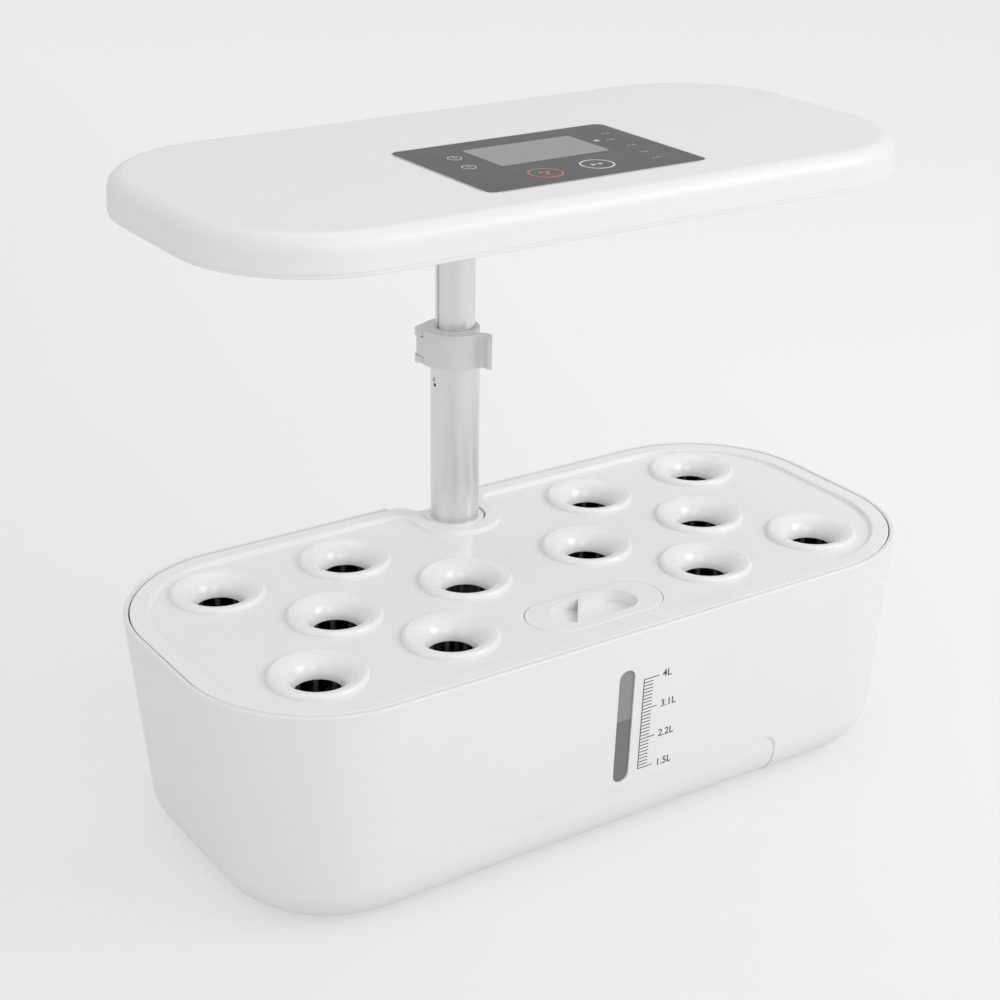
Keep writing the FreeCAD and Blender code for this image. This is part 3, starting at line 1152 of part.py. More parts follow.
def make_pump_shaft():
    start = PUMP_FRONT_Y + 0.6
    end = PUMP_FRONT_Y + PUMP_COVER_T + ROTOR_L + 3.5
    return pump_axis_rod(SHAFT_R, end - start, start)


def make_pump_impeller():
    joint_y = PUMP_FRONT_Y + PUMP_COVER_T
    hub = pump_axis_rod(IMPELLER_HUB_R, IMPELLER_W + IMPELLER_GAP, joint_y - IMPELLER_W - IMPELLER_GAP)
    rotor = pump_axis_rod(ROTOR_R, ROTOR_L - 0.6, joint_y)
    blades = []
    for i in range(IMPELLER_BLADES):
        blade = block(1.5, IMPELLER_R, joint_y - IMPELLER_W - IMPELLER_GAP, joint_y - IMPELLER_GAP,
                      -IMPELLER_BLADE_T / 2.0, IMPELLER_BLADE_T / 2.0)
        blade.rotate(V(0, 0, 0), V(0, 1, 0), i * 360.0 / IMPELLER_BLADES)
        blade.translate(V(0, 0, PUMP_AXIS_Z))
        blades.append(blade)
    bore = pump_axis_rod(SHAFT_R + SHAFT_GAP, 60.0, PUMP_FRONT_Y - 5.0)
    return hub.fuse([rotor] + blades).cut(bore)


def make_pump_filter():
    pad = block(-PUMP_HALF_X + 4.0, PUMP_HALF_X - 4.0, PUMP_FRONT_Y - FILTER_T, PUMP_FRONT_Y,
                PUMP_LOW_Z + 2.0, PUMP_LOW_Z + PUMP_H - 4.0)
    return pad.makeFillet(1.5, [e for e in pad.Edges if e.BoundBox.YLength > FILTER_T - 0.5])


def make_pump_feet():
    feet = []
    for sx in (-1, 1):
        for y in (PUMP_Y - 1.0, PUMP_Y + PUMP_HALF_Y - PUMP_FOOT_R):
            x = sx * (PUMP_HALF_X - PUMP_FOOT_R - 1.0)
            foot = Part.makeCone(PUMP_FOOT_R, PUMP_FOOT_R * 0.55, PUMP_FOOT_H, V(x, y, LINER_FLOOR_Z), UP)
            feet.append(foot)
    return Part.makeCompound(feet)


def make_pump_lead():
    """Lead from the pump up to the side of the pole socket, held at both ends."""
    low_z = PUMP_LOW_Z + LEAD_LOW_RISE
    start_y = PUMP_Y + PUMP_HALF_Y - 3.0
    end_y = POLE_Y - OUTER_TUBE_BORE_R - 0.4
    r = LEAD_BEND_R
    diag = r * math.sqrt(0.5)
    run_y = LEAD_RUN_Y
    path = Part.Wire([
        Part.LineSegment(V(0, start_y, low_z), V(0, run_y - r, low_z)).toShape(),
        arc(V(0, run_y - r, low_z), V(0, run_y - r + diag, low_z + r - diag), V(0, run_y, low_z + r)),
        Part.LineSegment(V(0, run_y, low_z + r), V(0, run_y, LEAD_TOP_Z - r)).toShape(),
        Part.Arc(V(0, run_y, LEAD_TOP_Z - r), V(0, run_y + r - diag, LEAD_TOP_Z - r + diag),
                 V(0, run_y + r, LEAD_TOP_Z)).toShape(),
        Part.LineSegment(V(0, run_y + r, LEAD_TOP_Z), V(0, end_y, LEAD_TOP_Z)).toShape(),
    ])
    circle = Part.Wire([Part.makeCircle(LEAD_R, V(0, start_y, low_z), V(0, 1, 0))])
    return path.makePipeShell([circle], True, False)


def build_all():
    parts = {
        "tank_shell": make_tank_shell(),
        "reservoir": make_reservoir(),
        "base_plate": make_base_plate(),
        "base_screws": make_base_screws(),
        "foot_pads": make_foot_pads(),
        "water_window": make_water_window(),
        "window_gasket": make_window_gasket(),
        "pole_socket": make_pole_socket(),
        "socket_screws": make_socket_screws(),
        "outer_tube": make_outer_tube(),
        "tube_pin": make_tube_pin(),
        "tube_bush": make_tube_bush(),
        "clamp_collar": make_clamp_collar(),
        "clamp_brake_shoe": make_brake_shoe(),
        "clamp_hinge_pin": make_hinge_pin(),
        "clamp_lever": make_clamp_lever(),
        "inner_tube": make_inner_tube(),
        "slide_foot": make_slide_foot(),
        "lamp_hub": make_lamp_hub(),
        "hub_screws": make_hub_screws(),
        "lamp_bottom_cover": make_lamp_bottom_cover(),
        "lamp_top_cover": make_lamp_top_cover(),
        "lamp_screws": make_lamp_screws(),
        "light_diffuser": make_light_diffuser(),
        "led_board": make_led_board(),
        "led_chips": make_led_chips(),
        "board_screws": make_board_screws(),
        "control_board": make_control_board(),
        "lcd_module": make_lcd_module(),
        "display_panel": make_display_panel(),
        "dc_jack": make_dc_jack(),
        "grow_deck": make_grow_deck(),
        "fill_lid": make_fill_lid(),
        "pump_body": make_pump_body(),
        "pump_cover": make_pump_cover(),
        "pump_shaft": make_pump_shaft(),
        "pump_impeller": make_pump_impeller(),
        "pump_filter": make_pump_filter(),
        "pump_feet": make_pump_feet(),
        "pump_lead": make_pump_lead(),
    }
    basket = make_basket()
    for number, (x, y) in enumerate(POD_PLACES, start=1):
        copy = basket.copy()
        copy.translate(V(x, y, 0))
        parts["grow_basket_%02d" % number] = copy
    return parts


def main():
    os.makedirs("parts", exist_ok=True)
    for node, shape in build_all().items():
        shape.translate(V(0, -ORIGIN_Y, 0))
        shape.exportStep("parts/%s.step" % node)
        solids = shape.Solids
        print("%-20s solids %3d  valid %s  volume %.0f" % (node, len(solids), shape.isValid(),
                                                          sum(s.Volume for s in solids)))


main()
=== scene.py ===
import math

import bmesh
import bpy
from mathutils import Matrix, Vector


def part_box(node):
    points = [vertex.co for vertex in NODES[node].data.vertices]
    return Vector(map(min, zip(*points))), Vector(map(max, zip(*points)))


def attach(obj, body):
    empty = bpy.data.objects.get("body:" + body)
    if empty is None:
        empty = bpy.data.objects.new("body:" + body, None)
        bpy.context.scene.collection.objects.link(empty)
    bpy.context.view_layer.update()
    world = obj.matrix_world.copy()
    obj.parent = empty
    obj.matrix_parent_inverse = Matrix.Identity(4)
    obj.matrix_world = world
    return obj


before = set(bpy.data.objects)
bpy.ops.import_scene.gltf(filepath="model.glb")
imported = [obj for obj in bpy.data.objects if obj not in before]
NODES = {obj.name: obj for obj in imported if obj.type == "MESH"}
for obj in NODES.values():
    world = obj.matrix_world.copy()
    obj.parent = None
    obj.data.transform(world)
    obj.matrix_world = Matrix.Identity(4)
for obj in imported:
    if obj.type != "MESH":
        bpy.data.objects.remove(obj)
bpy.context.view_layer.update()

MM = 0.001

# Camera, fitted to the outlines of the tank, deck, lamp and pole
CAMERA_PLACE = Vector((-482.3, -699.2, 502.2)) * MM
CAMERA_HEADING = 0.592       # radians from +Y towards +X
CAMERA_PITCH = 0.407         # radians below level
CAMERA_ROLL = 0.013
CAMERA_LENS = 72.06
CAMERA_SENSOR = 36.0

# Printed water scale beside the window, on the front wall
SCALE_LINE_X = 3.8 * MM
SCALE_TOP_Z = 82.8 * MM
SCALE_STEP_Z = 15.43 * MM
SCALE_MARKS = 4
SCALE_SHORT_PER_STEP = 8
SCALE_LONG_TICK = 8.0 * MM
SCALE_SHORT_TICK = 4.9 * MM
SCALE_TICK_W = 0.40 * MM
SCALE_LINE_W = 0.45 * MM
SCALE_LABEL_X = 14.2 * MM
SCALE_LABEL_SIZE = 5.1 * MM
SCALE_LABEL_WEIGHT = 0.04 * MM
SCALE_LABELS = ("4L", "3.1L", "2.2L", "1.5L")
WALL_LEAN = math.radians(2.66)
WATER_LEVEL_Z = 64.4 * MM

# Painted shade: basket cages are coloured dark from their slots down, for the deep shade inside the tank
CAGE_SHADE_TOP_Z = 99.0 * MM
CAGE_SHADE_COLOUR = (0.060, 0.052, 0.045)

# Prints stand this far off the surface they lie on
PRINT_T = 0.10 * MM
PRINT_SINK = 0.05 * MM

# Marks on the control panel, from its middle: x to the right, y to the back
PANEL_LINE_W = 0.55
PANEL_LINE_INSET = 0.2
PANEL_LINE_OUT_R = 4.3
PANEL_LINE_IN_R = 3.8
LCD_PLACE = (1.3, 10.9)
LCD_SIZE = (56.0, 31.5)
LCD_CORNER = 1.6
KEY_PLACES = ((-36.2, 17.0), (-39.2, 1.2))
KEY_R = 3.2
KEY_LINE = 0.35
KEY_HAND_HALF_W = 0.2
KEY_LONG_HAND = 1.7
KEY_SHORT_HAND = 1.4
BIG_KEY_ORANGE = (-17.5, -23.3)
BIG_KEY_WHITE = (9.8, -21.9)
BIG_KEY_R = 7.6
BIG_KEY_LINE = 0.75
STATUS_ROWS = ((46.0, 21.7), (41.0, 11.2), (42.7, -1.8), (40.2, -14.3), (38.0, -25.5))
STATUS_DASHES = ((-1.9, -0.5), (0.3, 2.2))
STATUS_HALF_H = 0.35
STATUS_LAMP_PLACE = (34.6, 12.6)
STATUS_LAMP_R = 1.3
DOT_PLACES = ((-1.6, 1.2), (1.6, 1.2), (0.0, -1.7))
DOT_R = 0.9
ARROW_SHIFTS = (-1.7, 1.9)
ARROW_SIZE = 1.3


def new_material(name):
    material = bpy.data.materials.new(name)
    material.use_nodes = True
    return material, material.node_tree.nodes, material.node_tree.links


def noise(nodes, links, scale, detail=2.0, stretch=(1.0, 1.0, 1.0)):
    """Noise in the object's own metres."""
    coords = nodes.new("ShaderNodeTexCoord")
    mapping = nodes.new("ShaderNodeMapping")
    mapping.inputs["Scale"].default_value = stretch
    texture = nodes.new("ShaderNodeTexNoise")
    texture.inputs["Scale"].default_value = scale
    texture.inputs["Detail"].default_value = detail
    links.new(coords.outputs["Object"], mapping.inputs["Vector"])
    links.new(mapping.outputs["Vector"], texture.inputs["Vector"])
    return texture.outputs["Fac"]


def ranged(nodes, links, source, low, high):
    """Map 0.3 to 0.7 of a noise onto low to high."""
    node = nodes.new("ShaderNodeMapRange")
    node.inputs["From Min"].default_value = 0.3
    node.inputs["From Max"].default_value = 0.7
    node.inputs["To Min"].default_value = low
    node.inputs["To Max"].default_value = high
    links.new(source, node.inputs["Value"])
    return node.outputs["Result"]


def tinted(nodes, links, source, dark, light):
    """Mix two colours by a noise."""
    ramp = nodes.new("ShaderNodeValToRGB")
    ramp.color_ramp.elements[0].position = 0.3
    ramp.color_ramp.elements[0].color = (*dark, 1.0)
    ramp.color_ramp.elements[1].position = 0.7
    ramp.color_ramp.elements[1].color = (*light, 1.0)
    links.new(source, ramp.inputs["Fac"])
    return ramp.outputs["Color"]


def bump(nodes, links, source, shader, distance, strength=1.0):
    node = nodes.new("ShaderNodeBump")
    node.inputs["Strength"].default_value = strength
    node.inputs["Distance"].default_value = distance
    links.new(source, node.inputs["Height"])
    links.new(node.outputs["Normal"], shader.inputs["Normal"])


def moulded(name, colour, roughness, spread=0.04, mottling=0.015, grain=1400.0, depth=0.02,
            coat=0.0, specular=0.5):
    """Moulded plastic: faint colour drift, uneven gloss and a fine skin grain."""
    material, nodes, links = new_material(name)
    shader = nodes["Principled BSDF"]
    drift = noise(nodes, links, 18.0, 3.0)
    dark = tuple(c * (1.0 - mottling) for c in colour)
    light = tuple(min(1.0, c * (1.0 + mottling)) for c in colour)
    links.new(tinted(nodes, links, drift, dark, light), shader.inputs["Base Color"])
    gloss = noise(nodes, links, 60.0, 4.0)
    links.new(ranged(nodes, links, gloss, roughness - spread, roughness + spread), shader.inputs["Roughness"])
    skin = noise(nodes, links, grain, 2.0)
    bump(nodes, links, skin, shader, depth * MM)
    shader.inputs["Specular IOR Level"].default_value = specular
    shader.inputs["Coat Weight"].default_value = coat
    shader.inputs["Coat Roughness"].default_value = 0.12
    return material


def metal(name, colour, roughness, stretch, depth=0.006, contrast=0.06, scale=900.0):
    """Metal with a fine grain, which stretch can draw out along one axis."""
    material, nodes, links = new_material(name)
    shader = nodes["Principled BSDF"]
    grain = noise(nodes, links, scale, 5.0, stretch)
    dark = tuple(c * (1.0 - contrast) for c in colour)
    light = tuple(min(1.0, c * (1.0 + contrast)) for c in colour)
    links.new(tinted(nodes, links, grain, dark, light), shader.inputs["Base Color"])
    links.new(ranged(nodes, links, grain, roughness - 0.05, roughness + 0.07), shader.inputs["Roughness"])
    bump(nodes, links, grain, shader, depth * MM)
    shader.inputs["Metallic"].default_value = 1.0
    return material


def paint_shade_below(material, height, colour):
    """Paint shade onto a moulding under a height: a dark colour in place of its own below it."""
    nodes = material.node_tree.nodes
    links = material.node_tree.links
    base = nodes["Principled BSDF"].inputs["Base Color"]
    upper = base.links[0].from_socket
    coords = nodes.new("ShaderNodeTexCoord")
    split = nodes.new("ShaderNodeSeparateXYZ")
    links.new(coords.outputs["Object"], split.inputs["Vector"])
    level = nodes.new("ShaderNodeMapRange")
    level.inputs["From Min"].default_value = height - 0.1 * MM
    level.inputs["From Max"].default_value = height + 0.1 * MM
    links.new(split.outputs["Z"], level.inputs["Value"])
    mix = nodes.new("ShaderNodeMix")
    mix.data_type = "RGBA"
    mix.inputs["A"].default_value = (*colour, 1.0)
    links.new(upper, mix.inputs["B"])
    links.new(level.outputs["Result"], mix.inputs["Factor"])
    links.new(mix.outputs["Result"], base)


def foam(name, colour):
    """Open-cell foam."""
    material, nodes, links = new_material(name)
    shader = nodes["Principled BSDF"]
    coords = nodes.new("ShaderNodeTexCoord")
    cells = nodes.new("ShaderNodeTexVoronoi")
    cells.inputs["Scale"].default_value = 900.0
    links.new(coords.outputs["Object"], cells.inputs["Vector"])
    dark = tuple(c * 0.3 for c in colour)
    links.new(tinted(nodes, links, cells.outputs["Distance"], dark, colour), shader.inputs["Base Color"])
    shader.inputs["Roughness"].default_value = 0.95
    bump(nodes, links, cells.outputs["Distance"], shader, 0.6 * MM)
    return material


def window_plastic(name):
    """Smoked clear plastic, darker where water stands behind it."""
    material, nodes, links = new_material(name)
    shader = nodes["Principled BSDF"]
    coords = nodes.new("ShaderNodeTexCoord")
    split = nodes.new("ShaderNodeSeparateXYZ")
    links.new(coords.outputs["Object"], split.inputs["Vector"])
    level = nodes.new("ShaderNodeMapRange")
    level.inputs["From Min"].default_value = WATER_LEVEL_Z - 0.4 * MM
    level.inputs["From Max"].default_value = WATER_LEVEL_Z + 0.4 * MM
    links.new(split.outputs["Z"], level.inputs["Value"])
    mix = nodes.new("ShaderNodeMix")
    mix.data_type = "RGBA"
    mix.inputs["A"].default_value = (0.170, 0.167, 0.160, 1.0)
    mix.inputs["B"].default_value = (0.262, 0.259, 0.253, 1.0)
    links.new(level.outputs["Result"], mix.inputs["Factor"])
    links.new(mix.outputs["Result"], shader.inputs["Base Color"])
    haze = noise(nodes, links, 120.0, 3.0)
    links.new(ranged(nodes, links, haze, 0.16, 0.26), shader.inputs["Roughness"])
    return material


def phosphor(name):
    """Blotchy LED phosphor."""
    material, nodes, links = new_material(name)
    shader = nodes["Principled BSDF"]
    blotch = noise(nodes, links, 700.0, 3.0)
    colour = tinted(nodes, links, blotch, (0.72, 0.60, 0.16), (0.86, 0.77, 0.33))
    links.new(colour, shader.inputs["Base Color"])
    shader.inputs["Roughness"].default_value = 0.4
    return material


def circuit(name, colour, line):
    """Solder mask over copper tracks."""
    material, nodes, links = new_material(name)
    shader = nodes["Principled BSDF"]
    coords = nodes.new("ShaderNodeTexCoord")
    tracks = nodes.new("ShaderNodeTexBrick")
    tracks.inputs["Color1"].default_value = (*colour, 1.0)
    tracks.inputs["Color2"].default_value = (*[c * 0.94 for c in colour], 1.0)
    tracks.inputs["Mortar"].default_value = (*line, 1.0)
    tracks.inputs["Scale"].default_value = 60.0
    tracks.inputs["Mortar Size"].default_value = 0.03
    links.new(coords.outputs["Object"], tracks.inputs["Vector"])
    links.new(tracks.outputs["Color"], shader.inputs["Base Color"])
    shader.inputs["Roughness"].default_value = 0.35
    return material


WHITE = (0.800, 0.800, 0.797)
MATERIALS = {
    "shell": moulded("white_moulding", WHITE, 0.36, mottling=0.006, grain=2600.0, depth=0.004, coat=0.10),
    # The deck's white is lighter than the shell's: painted light that makes up for the lamp's shade on the
    # deck
    "deck": moulded("white_deck_painted_light", (0.860, 0.860, 0.855), 0.33, mottling=0.006, grain=2600.0,
                    depth=0.004, coat=0.12),
    "lamp": moulded("white_lamp_moulding", (0.800, 0.800, 0.800), 0.42, mottling=0.006, grain=2600.0,
                    depth=0.004),
    "basket": moulded("white_basket_gloss", (0.865, 0.865, 0.862), 0.25, mottling=0.006, grain=900.0,
                      depth=0.003, coat=0.30),
    "liner": moulded("black_liner", (0.045, 0.040, 0.036), 0.55, mottling=0.12),
    "clamp": moulded("grey_clamp_moulding", (0.690, 0.690, 0.685), 0.34, mottling=0.012, depth=0.008),
    "rubber": moulded("grey_rubber", (0.045, 0.045, 0.045), 0.80, mottling=0.10, depth=0.03),
    "black": moulded("black_moulding", (0.018, 0.018, 0.018), 0.45, mottling=0.10),
    "frosted": moulded("frosted_lens", (0.790, 0.790, 0.775), 0.55, grain=3200.0, depth=0.02),
    "panel": moulded("smoked_panel", (0.072, 0.073, 0.077), 0.34, spread=0.03, mottling=0.03, grain=3000.0,
                     depth=0.002, specular=0.22),
    "display": moulded("display_glass", (0.260, 0.264, 0.268), 0.26, spread=0.03, mottling=0.05, grain=2400.0,
                       depth=0.001, specular=0.35),
    "ink": moulded("dark_print", (0.050, 0.050, 0.050), 0.50, mottling=0.08),
    "pale_print": moulded("pale_print", (0.680, 0.680, 0.680), 0.45, mottling=0.05),
    "dim_print": moulded("dim_print", (0.430, 0.430, 0.430), 0.45, mottling=0.05),
    "orange_print": moulded("orange_print", (0.560, 0.200, 0.110), 0.45, mottling=0.06),
    "aluminium": metal("satin_tube", (0.800, 0.800, 0.804), 0.36, (1.0, 1.0, 0.05), depth=0.0008,
                             contrast=0.012, scale=3200.0),
    "steel": metal("plain_steel", (0.520, 0.520, 0.530), 0.30, (1.0, 1.0, 1.0)),
    "foam": foam("intake_foam", (0.045, 0.045, 0.045)),
    "window": window_plastic("gauge_window"),
    "led": phosphor("led_phosphor"),
    "white_board": circuit("led_board_mask", (0.760, 0.765, 0.740), (0.66, 0.67, 0.62)),
    "green_board": circuit("control_board_mask", (0.020, 0.140, 0.060), (0.05, 0.24, 0.10)),
}

# Painted shade: the white basket cages are coloured dark below their slots, in place of the tank's deep shade
paint_shade_below(MATERIALS["basket"], CAGE_SHADE_TOP_Z, CAGE_SHADE_COLOUR)

FINISHES = {
    "shell": ("tank_shell", "base_plate"),
    "deck": ("grow_deck", "fill_lid", "pole_socket"),
    "lamp": ("lamp_top_cover", "lamp_bottom_cover", "lamp_hub"),
    "basket": tuple(n for n in NODES if n.startswith("grow_basket")),
    "liner": ("reservoir",),
    "clamp": ("clamp_collar", "clamp_lever"),
    "rubber": ("foot_pads", "window_gasket", "clamp_brake_shoe", "pump_feet"),
    "black": ("tube_bush", "slide_foot", "dc_jack", "pump_body", "pump_cover", "pump_impeller", "pump_lead"),
    "frosted": ("light_diffuser",),
    "panel": ("display_panel",),
    "display": ("lcd_module",),
    "aluminium": ("outer_tube", "inner_tube"),
    "steel": ("base_screws", "socket_screws", "hub_screws", "lamp_screws", "board_screws", "tube_pin",
              "clamp_hinge_pin", "pump_shaft"),
    "foam": ("pump_filter",),
    "window": ("water_window",),
    "led": ("led_chips",),
    "white_board": ("led_board",),
    "green_board": ("control_board",),
}


def dress_nodes():
    """Give every CAD node its finish."""
    for finish, names in FINISHES.items():
        for name in names:
            slots = NODES[name].material_slots
            for slot in slots:
                slot.material = MATERIALS[finish]
            if not slots:
                NODES[name].data.materials.append(MATERIALS[finish])


def prism(name, loops, place, body, finish):
    """Thin print from flat outlines in millimetres.

    Each item of loops is (outline,) or (outline, hole), and a hole has as many points as its outline.
    place is the matrix from the print's flat frame to the row's frame.
    """
    mesh = bmesh.new()
    low, high = -PRINT_SINK, PRINT_T
    for group in loops:
        outer = group[0]
        count = len(outer)
        rings = []
        for outline in group:
            for z in (low, high):
                rings.append([mesh.verts.new((x * MM, y * MM, z)) for x, y in outline])
        if len(group) == 1:
            bottom, top = rings
            mesh.faces.new(list(reversed(bottom)))
            mesh.faces.new(top)
            for i in range(count):
                j = (i + 1) % count
                mesh.faces.new((bottom[i], bottom[j], top[j], top[i]))
        else:
            out_low, out_high, in_low, in_high = rings
            for i in range(count):
                j = (i + 1) % count
                mesh.faces.new((out_high[i], out_high[j], in_high[j], in_high[i]))
                mesh.faces.new((out_low[j], out_low[i], in_low[i], in_low[j]))
                mesh.faces.new((out_low[i], out_low[j], out_high[j], out_high[i]))
                mesh.faces.new((in_low[j], in_low[i], in_high[i], in_high[j]))
    mesh.transform(place)
    bmesh.ops.recalc_face_normals(mesh, faces=mesh.faces)
    data = bpy.data.meshes.new(name)
    mesh.to_mesh(data)
    mesh.free()
    piece = bpy.data.objects.new(name, data)
    bpy.context.scene.collection.objects.link(piece)
    data.materials.append(MATERIALS[finish])
    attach(piece, body)
    return piece


def bar(x0, x1, y0, y1):
    return ((x0, y0), (x1, y0), (x1, y1), (x0, y1))


def circle(x, y, radius, count=64):
    turns = [2 * math.pi * i / count for i in range(count)]
    return tuple((x + radius * math.cos(turn), y + radius * math.sin(turn)) for turn in turns)


def ring(x, y, radius, width, count=72):
    return circle(x, y, radius, count), circle(x, y, radius - width, count)


def round_box(x, y, half_x, half_y, radius, steps=8):
    points = []
    for turn, sx, sy in ((0, 1, 1), (90, -1, 1), (180, -1, -1), (270, 1, -1)):
        for i in range(steps + 1):
            angle = math.radians(turn + 90.0 * i / steps)
            points.append((x + sx * (half_x - radius) + radius * math.cos(angle),
                           y + sy * (half_y - radius) + radius * math.sin(angle)))
    return tuple(points)


def triangle(x, y, size):
    """Small arrowhead that points to the right."""
    return ((x - size, y - size), (x + size, y), (x - size, y + size))


def front_place(x, z):
    """Frame on the leaning front wall at a height: flat x to the right, flat y up the wall."""
    low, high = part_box("tank_shell")
    y = low.y + (high.z - z) * math.tan(WALL_LEAN)
    up = Vector((0.0, -math.sin(WALL_LEAN), math.cos(WALL_LEAN)))
    right = Vector((1.0, 0.0, 0.0))
    out = right.cross(up)
    rows = ((right.x, up.x, out.x, x), (right.y, up.y, out.y, y), (right.z, up.z, out.z, z), (0, 0, 0, 1))
    return Matrix(rows)


def water_scale():
    """Vertical line with long and short ticks, and a plain number at each long tick."""
    step = SCALE_STEP_Z / MM
    low = -step * (SCALE_MARKS - 1)
    half = SCALE_TICK_W / MM / 2.0
    width = SCALE_LINE_W / MM
    long_end = width + SCALE_LONG_TICK / MM
    short_end = width + SCALE_SHORT_TICK / MM
    marks = [(bar(0.0, width, low - half, half),)]
    for i in range(SCALE_MARKS):
        y = -step * i
        marks.append((bar(width, long_end, y - half, y + half),))
        if i < SCALE_MARKS - 1:
            for k in range(1, SCALE_SHORT_PER_STEP + 1):
                tick = y - step * k / (SCALE_SHORT_PER_STEP + 1)
                marks.append((bar(width, short_end, tick - half, tick + half),))
    prism("scale_marks", marks, front_place(SCALE_LINE_X, SCALE_TOP_Z), "base", "ink")
    for i, words in enumerate(SCALE_LABELS):
        scale_label("scale_number_%d" % (i + 1), words, SCALE_TOP_Z - i * SCALE_STEP_Z)


def scale_label(name, words, z):
    curve = bpy.data.curves.new(name + "_shape", "FONT")
    curve.body = words
    curve.size = SCALE_LABEL_SIZE
    curve.align_y = "CENTER"
    curve.offset = SCALE_LABEL_WEIGHT
    curve.extrude = (PRINT_T + PRINT_SINK) / 2.0
    curve.resolution_u = 4
    source = bpy.data.objects.new(name + "_shape", curve)
    bpy.context.scene.collection.objects.link(source)
    bpy.context.view_layer.update()
    mesh = bpy.data.meshes.new_from_object(source)
    bpy.data.objects.remove(source)
    mesh.transform(front_place(SCALE_LABEL_X, z) @ Matrix.Translation((0, 0, (PRINT_T - PRINT_SINK) / 2.0)))
    mesh.materials.clear()
    mesh.materials.append(MATERIALS["ink"])
    piece = bpy.data.objects.new(name, mesh)
    bpy.context.scene.collection.objects.link(piece)
    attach(piece, "base")


def panel_place():
    low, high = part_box("display_panel")
    return Matrix.Translation(((low.x + high.x) / 2.0, (low.y + high.y) / 2.0, high.z))


def panel_prints():
    low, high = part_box("display_panel")
    half_x = (high.x - low.x) / 2.0 / MM
    half_y = (high.y - low.y) / 2.0 / MM
    place = panel_place()
    out_x, out_y = half_x - PANEL_LINE_INSET, half_y - PANEL_LINE_INSET
    edge = (round_box(0, 0, out_x, out_y, PANEL_LINE_OUT_R),
            round_box(0, 0, out_x - PANEL_LINE_W, out_y - PANEL_LINE_W, PANEL_LINE_IN_R))
    prism("panel_outline", [edge], place, "mast", "pale_print")
    x, y = LCD_PLACE
    screen = round_box(x, y, LCD_SIZE[0] / 2.0, LCD_SIZE[1] / 2.0, LCD_CORNER)
    prism("panel_display_window", [(screen,)], place, "mast", "display")
    for i, (kx, ky) in enumerate(KEY_PLACES, start=1):
        shapes = [ring(kx, ky, KEY_R, KEY_LINE),
                  (bar(kx - KEY_HAND_HALF_W, kx + KEY_HAND_HALF_W, ky, ky + KEY_LONG_HAND),),
                  (bar(kx, kx + KEY_SHORT_HAND, ky - KEY_HAND_HALF_W, ky + KEY_HAND_HALF_W),)]
        prism("panel_small_key_%d" % i, shapes, place, "mast", "pale_print")
    x, y = BIG_KEY_ORANGE
    prism("panel_key_orange", [ring(x, y, BIG_KEY_R, BIG_KEY_LINE)], place, "mast", "orange_print")
    dots = [(circle(x + dot_x, y + dot_y, DOT_R, 24),) for dot_x, dot_y in DOT_PLACES]
    prism("panel_key_orange_icon", dots, place, "mast", "orange_print")
    x, y = BIG_KEY_WHITE
    prism("panel_key_white", [ring(x, y, BIG_KEY_R, BIG_KEY_LINE)], place, "mast", "pale_print")
    arrows = [(triangle(x + shift, y, ARROW_SIZE),) for shift in ARROW_SHIFTS]
    prism("panel_key_white_icon", arrows, place, "mast", "pale_print")
    rows = []
    for sx, sy in STATUS_ROWS:
        for start, end in STATUS_DASHES:
            rows.append((bar(sx + start, sx + end, sy - STATUS_HALF_H, sy + STATUS_HALF_H),))
    prism("panel_status_marks", rows, place, "mast", "dim_print")
    lamp = circle(*STATUS_LAMP_PLACE, STATUS_LAMP_R, 32)
    prism("panel_status_lamp", [(lamp,)], place, "mast", "pale_print")


# Studio: colours where 1 is white, light sources by the direction they come from
FLOOR_HALF = 6.0
FLOOR_COLOUR = (0.800, 0.800, 0.802)
# Painted shade: the floor's glow is weaker to the left than to the right, as light falling off
FLOOR_GLOW_LEFT = 0.80
FLOOR_GLOW_RIGHT = 0.99
FLOOR_GLOW_SHARE = 0.62
FLOOR_GLOW_REACH = 0.45
WORLD_LIGHT = 0.66
LIGHT_DISTANCE = 1.7
LIGHT_TARGET = Vector((0.0, 0.0, 0.12))
SOFT_BOXES = (
    ("key_box", Vector((0.62, -0.70, 0.60)), 0.85, 9.0, 1.0),
    ("front_box", Vector((-0.20, -0.92, 0.62)), 0.70, 3.6, 1.0),
    ("left_box", Vector((-0.95, -0.12, 0.35)), 0.90, 2.4, 0.1),
    ("top_box", Vector((0.15, 0.25, 1.00)), 0.80, 2.5, 1.0),
)


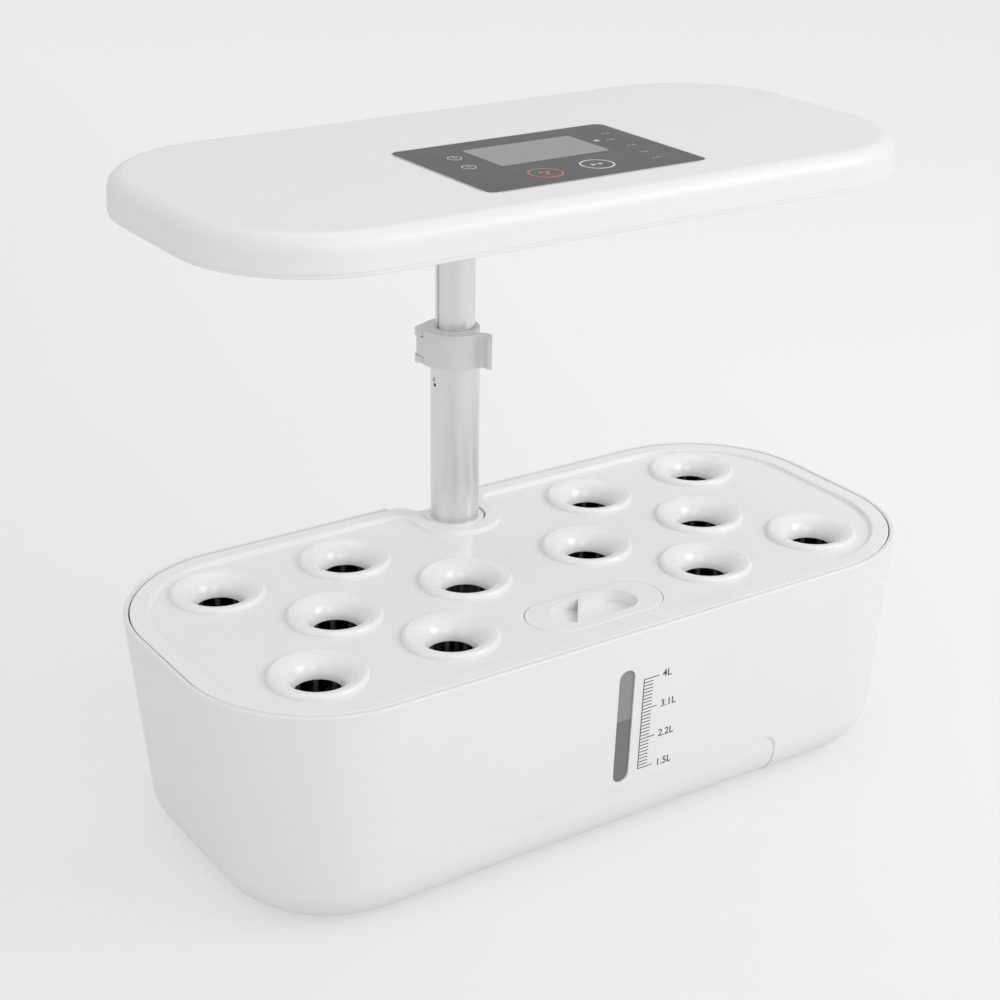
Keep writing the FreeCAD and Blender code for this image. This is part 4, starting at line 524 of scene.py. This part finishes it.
def make_floor():
    """Pale floor, near white for the camera and for reflections, with painted shade to the left: its glow
    falls off from right to left.
    """
    mesh = bpy.data.meshes.new("studio_floor")
    half = FLOOR_HALF
    outline = [(-half, -half, 0), (half, -half, 0), (half, half, 0), (-half, half, 0)]
    mesh.from_pydata(outline, [], [(0, 1, 2, 3)])
    floor = bpy.data.objects.new("studio_floor", mesh)
    bpy.context.scene.collection.objects.link(floor)
    material, nodes, links = new_material("pale_floor")
    shader = nodes["Principled BSDF"]
    shader.inputs["Base Color"].default_value = (*FLOOR_COLOUR, 1.0)
    shader.inputs["Roughness"].default_value = 0.85
    shader.inputs["Specular IOR Level"].default_value = 0.2
    coords = nodes.new("ShaderNodeTexCoord")
    split = nodes.new("ShaderNodeSeparateXYZ")
    links.new(coords.outputs["Object"], split.inputs["Vector"])
    # Painted shade: glow strength falls off across the floor towards the left
    painted_falloff = nodes.new("ShaderNodeMapRange")
    painted_falloff.inputs["From Min"].default_value = -FLOOR_GLOW_REACH
    painted_falloff.inputs["From Max"].default_value = FLOOR_GLOW_REACH
    painted_falloff.inputs["To Min"].default_value = FLOOR_GLOW_LEFT
    painted_falloff.inputs["To Max"].default_value = FLOOR_GLOW_RIGHT
    links.new(split.outputs["X"], painted_falloff.inputs["Value"])
    glow = nodes.new("ShaderNodeEmission")
    links.new(painted_falloff.outputs["Result"], glow.inputs["Strength"])
    path = nodes.new("ShaderNodeLightPath")
    seen = nodes.new("ShaderNodeMath")
    seen.operation = "MAXIMUM"
    links.new(path.outputs["Is Camera Ray"], seen.inputs[0])
    links.new(path.outputs["Is Glossy Ray"], seen.inputs[1])
    either = nodes.new("ShaderNodeMath")
    either.operation = "MAXIMUM"
    links.new(seen.outputs["Value"], either.inputs[0])
    links.new(path.outputs["Is Transmission Ray"], either.inputs[1])
    share = nodes.new("ShaderNodeMath")
    share.operation = "MULTIPLY"
    share.inputs[1].default_value = FLOOR_GLOW_SHARE
    links.new(either.outputs["Value"], share.inputs[0])
    mix = nodes.new("ShaderNodeMixShader")
    links.new(share.outputs["Value"], mix.inputs["Fac"])
    links.new(shader.outputs["BSDF"], mix.inputs[1])
    links.new(glow.outputs["Emission"], mix.inputs[2])
    links.new(mix.outputs["Shader"], nodes["Material Output"].inputs["Surface"])
    mesh.materials.append(material)


def make_soft_box(name, direction, size, power, shine):
    light = bpy.data.lights.new(name, "AREA")
    light.shape = "SQUARE"
    light.size = size
    light.energy = power
    light.specular_factor = shine
    lamp = bpy.data.objects.new(name, light)
    lamp.location = LIGHT_TARGET + direction.normalized() * LIGHT_DISTANCE
    lamp.rotation_euler = direction.to_track_quat("Z", "Y").to_euler()
    bpy.context.scene.collection.objects.link(lamp)


def make_world():
    world = bpy.data.worlds.new("studio")
    world.use_nodes = True
    sky = world.node_tree.nodes["Background"]
    sky.inputs["Color"].default_value = (1.0, 1.0, 1.0, 1.0)
    sky.inputs["Strength"].default_value = WORLD_LIGHT
    bpy.context.scene.world = world


def make_camera():
    forward = Vector((math.sin(CAMERA_HEADING) * math.cos(CAMERA_PITCH),
                      math.cos(CAMERA_HEADING) * math.cos(CAMERA_PITCH), -math.sin(CAMERA_PITCH)))
    right = Vector((math.cos(CAMERA_HEADING), -math.sin(CAMERA_HEADING), 0.0))
    up = right.cross(forward)
    c, s = math.cos(CAMERA_ROLL), math.sin(CAMERA_ROLL)
    tilted_right = c * right + s * up
    tilted_up = c * up - s * right
    data = bpy.data.cameras.new("camera")
    data.lens = CAMERA_LENS
    data.sensor_width = CAMERA_SENSOR
    data.clip_start = 0.01
    camera = bpy.data.objects.new("camera", data)
    bpy.context.scene.collection.objects.link(camera)
    axes = Matrix((tilted_right, tilted_up, -forward)).transposed().to_4x4()
    camera.matrix_world = Matrix.Translation(CAMERA_PLACE) @ axes
    bpy.context.scene.camera = camera


make_camera()
make_floor()
make_world()
for soft_box in SOFT_BOXES:
    make_soft_box(*soft_box)
bpy.context.scene.view_settings.view_transform = "Standard"
dress_nodes()
water_scale()
panel_prints()
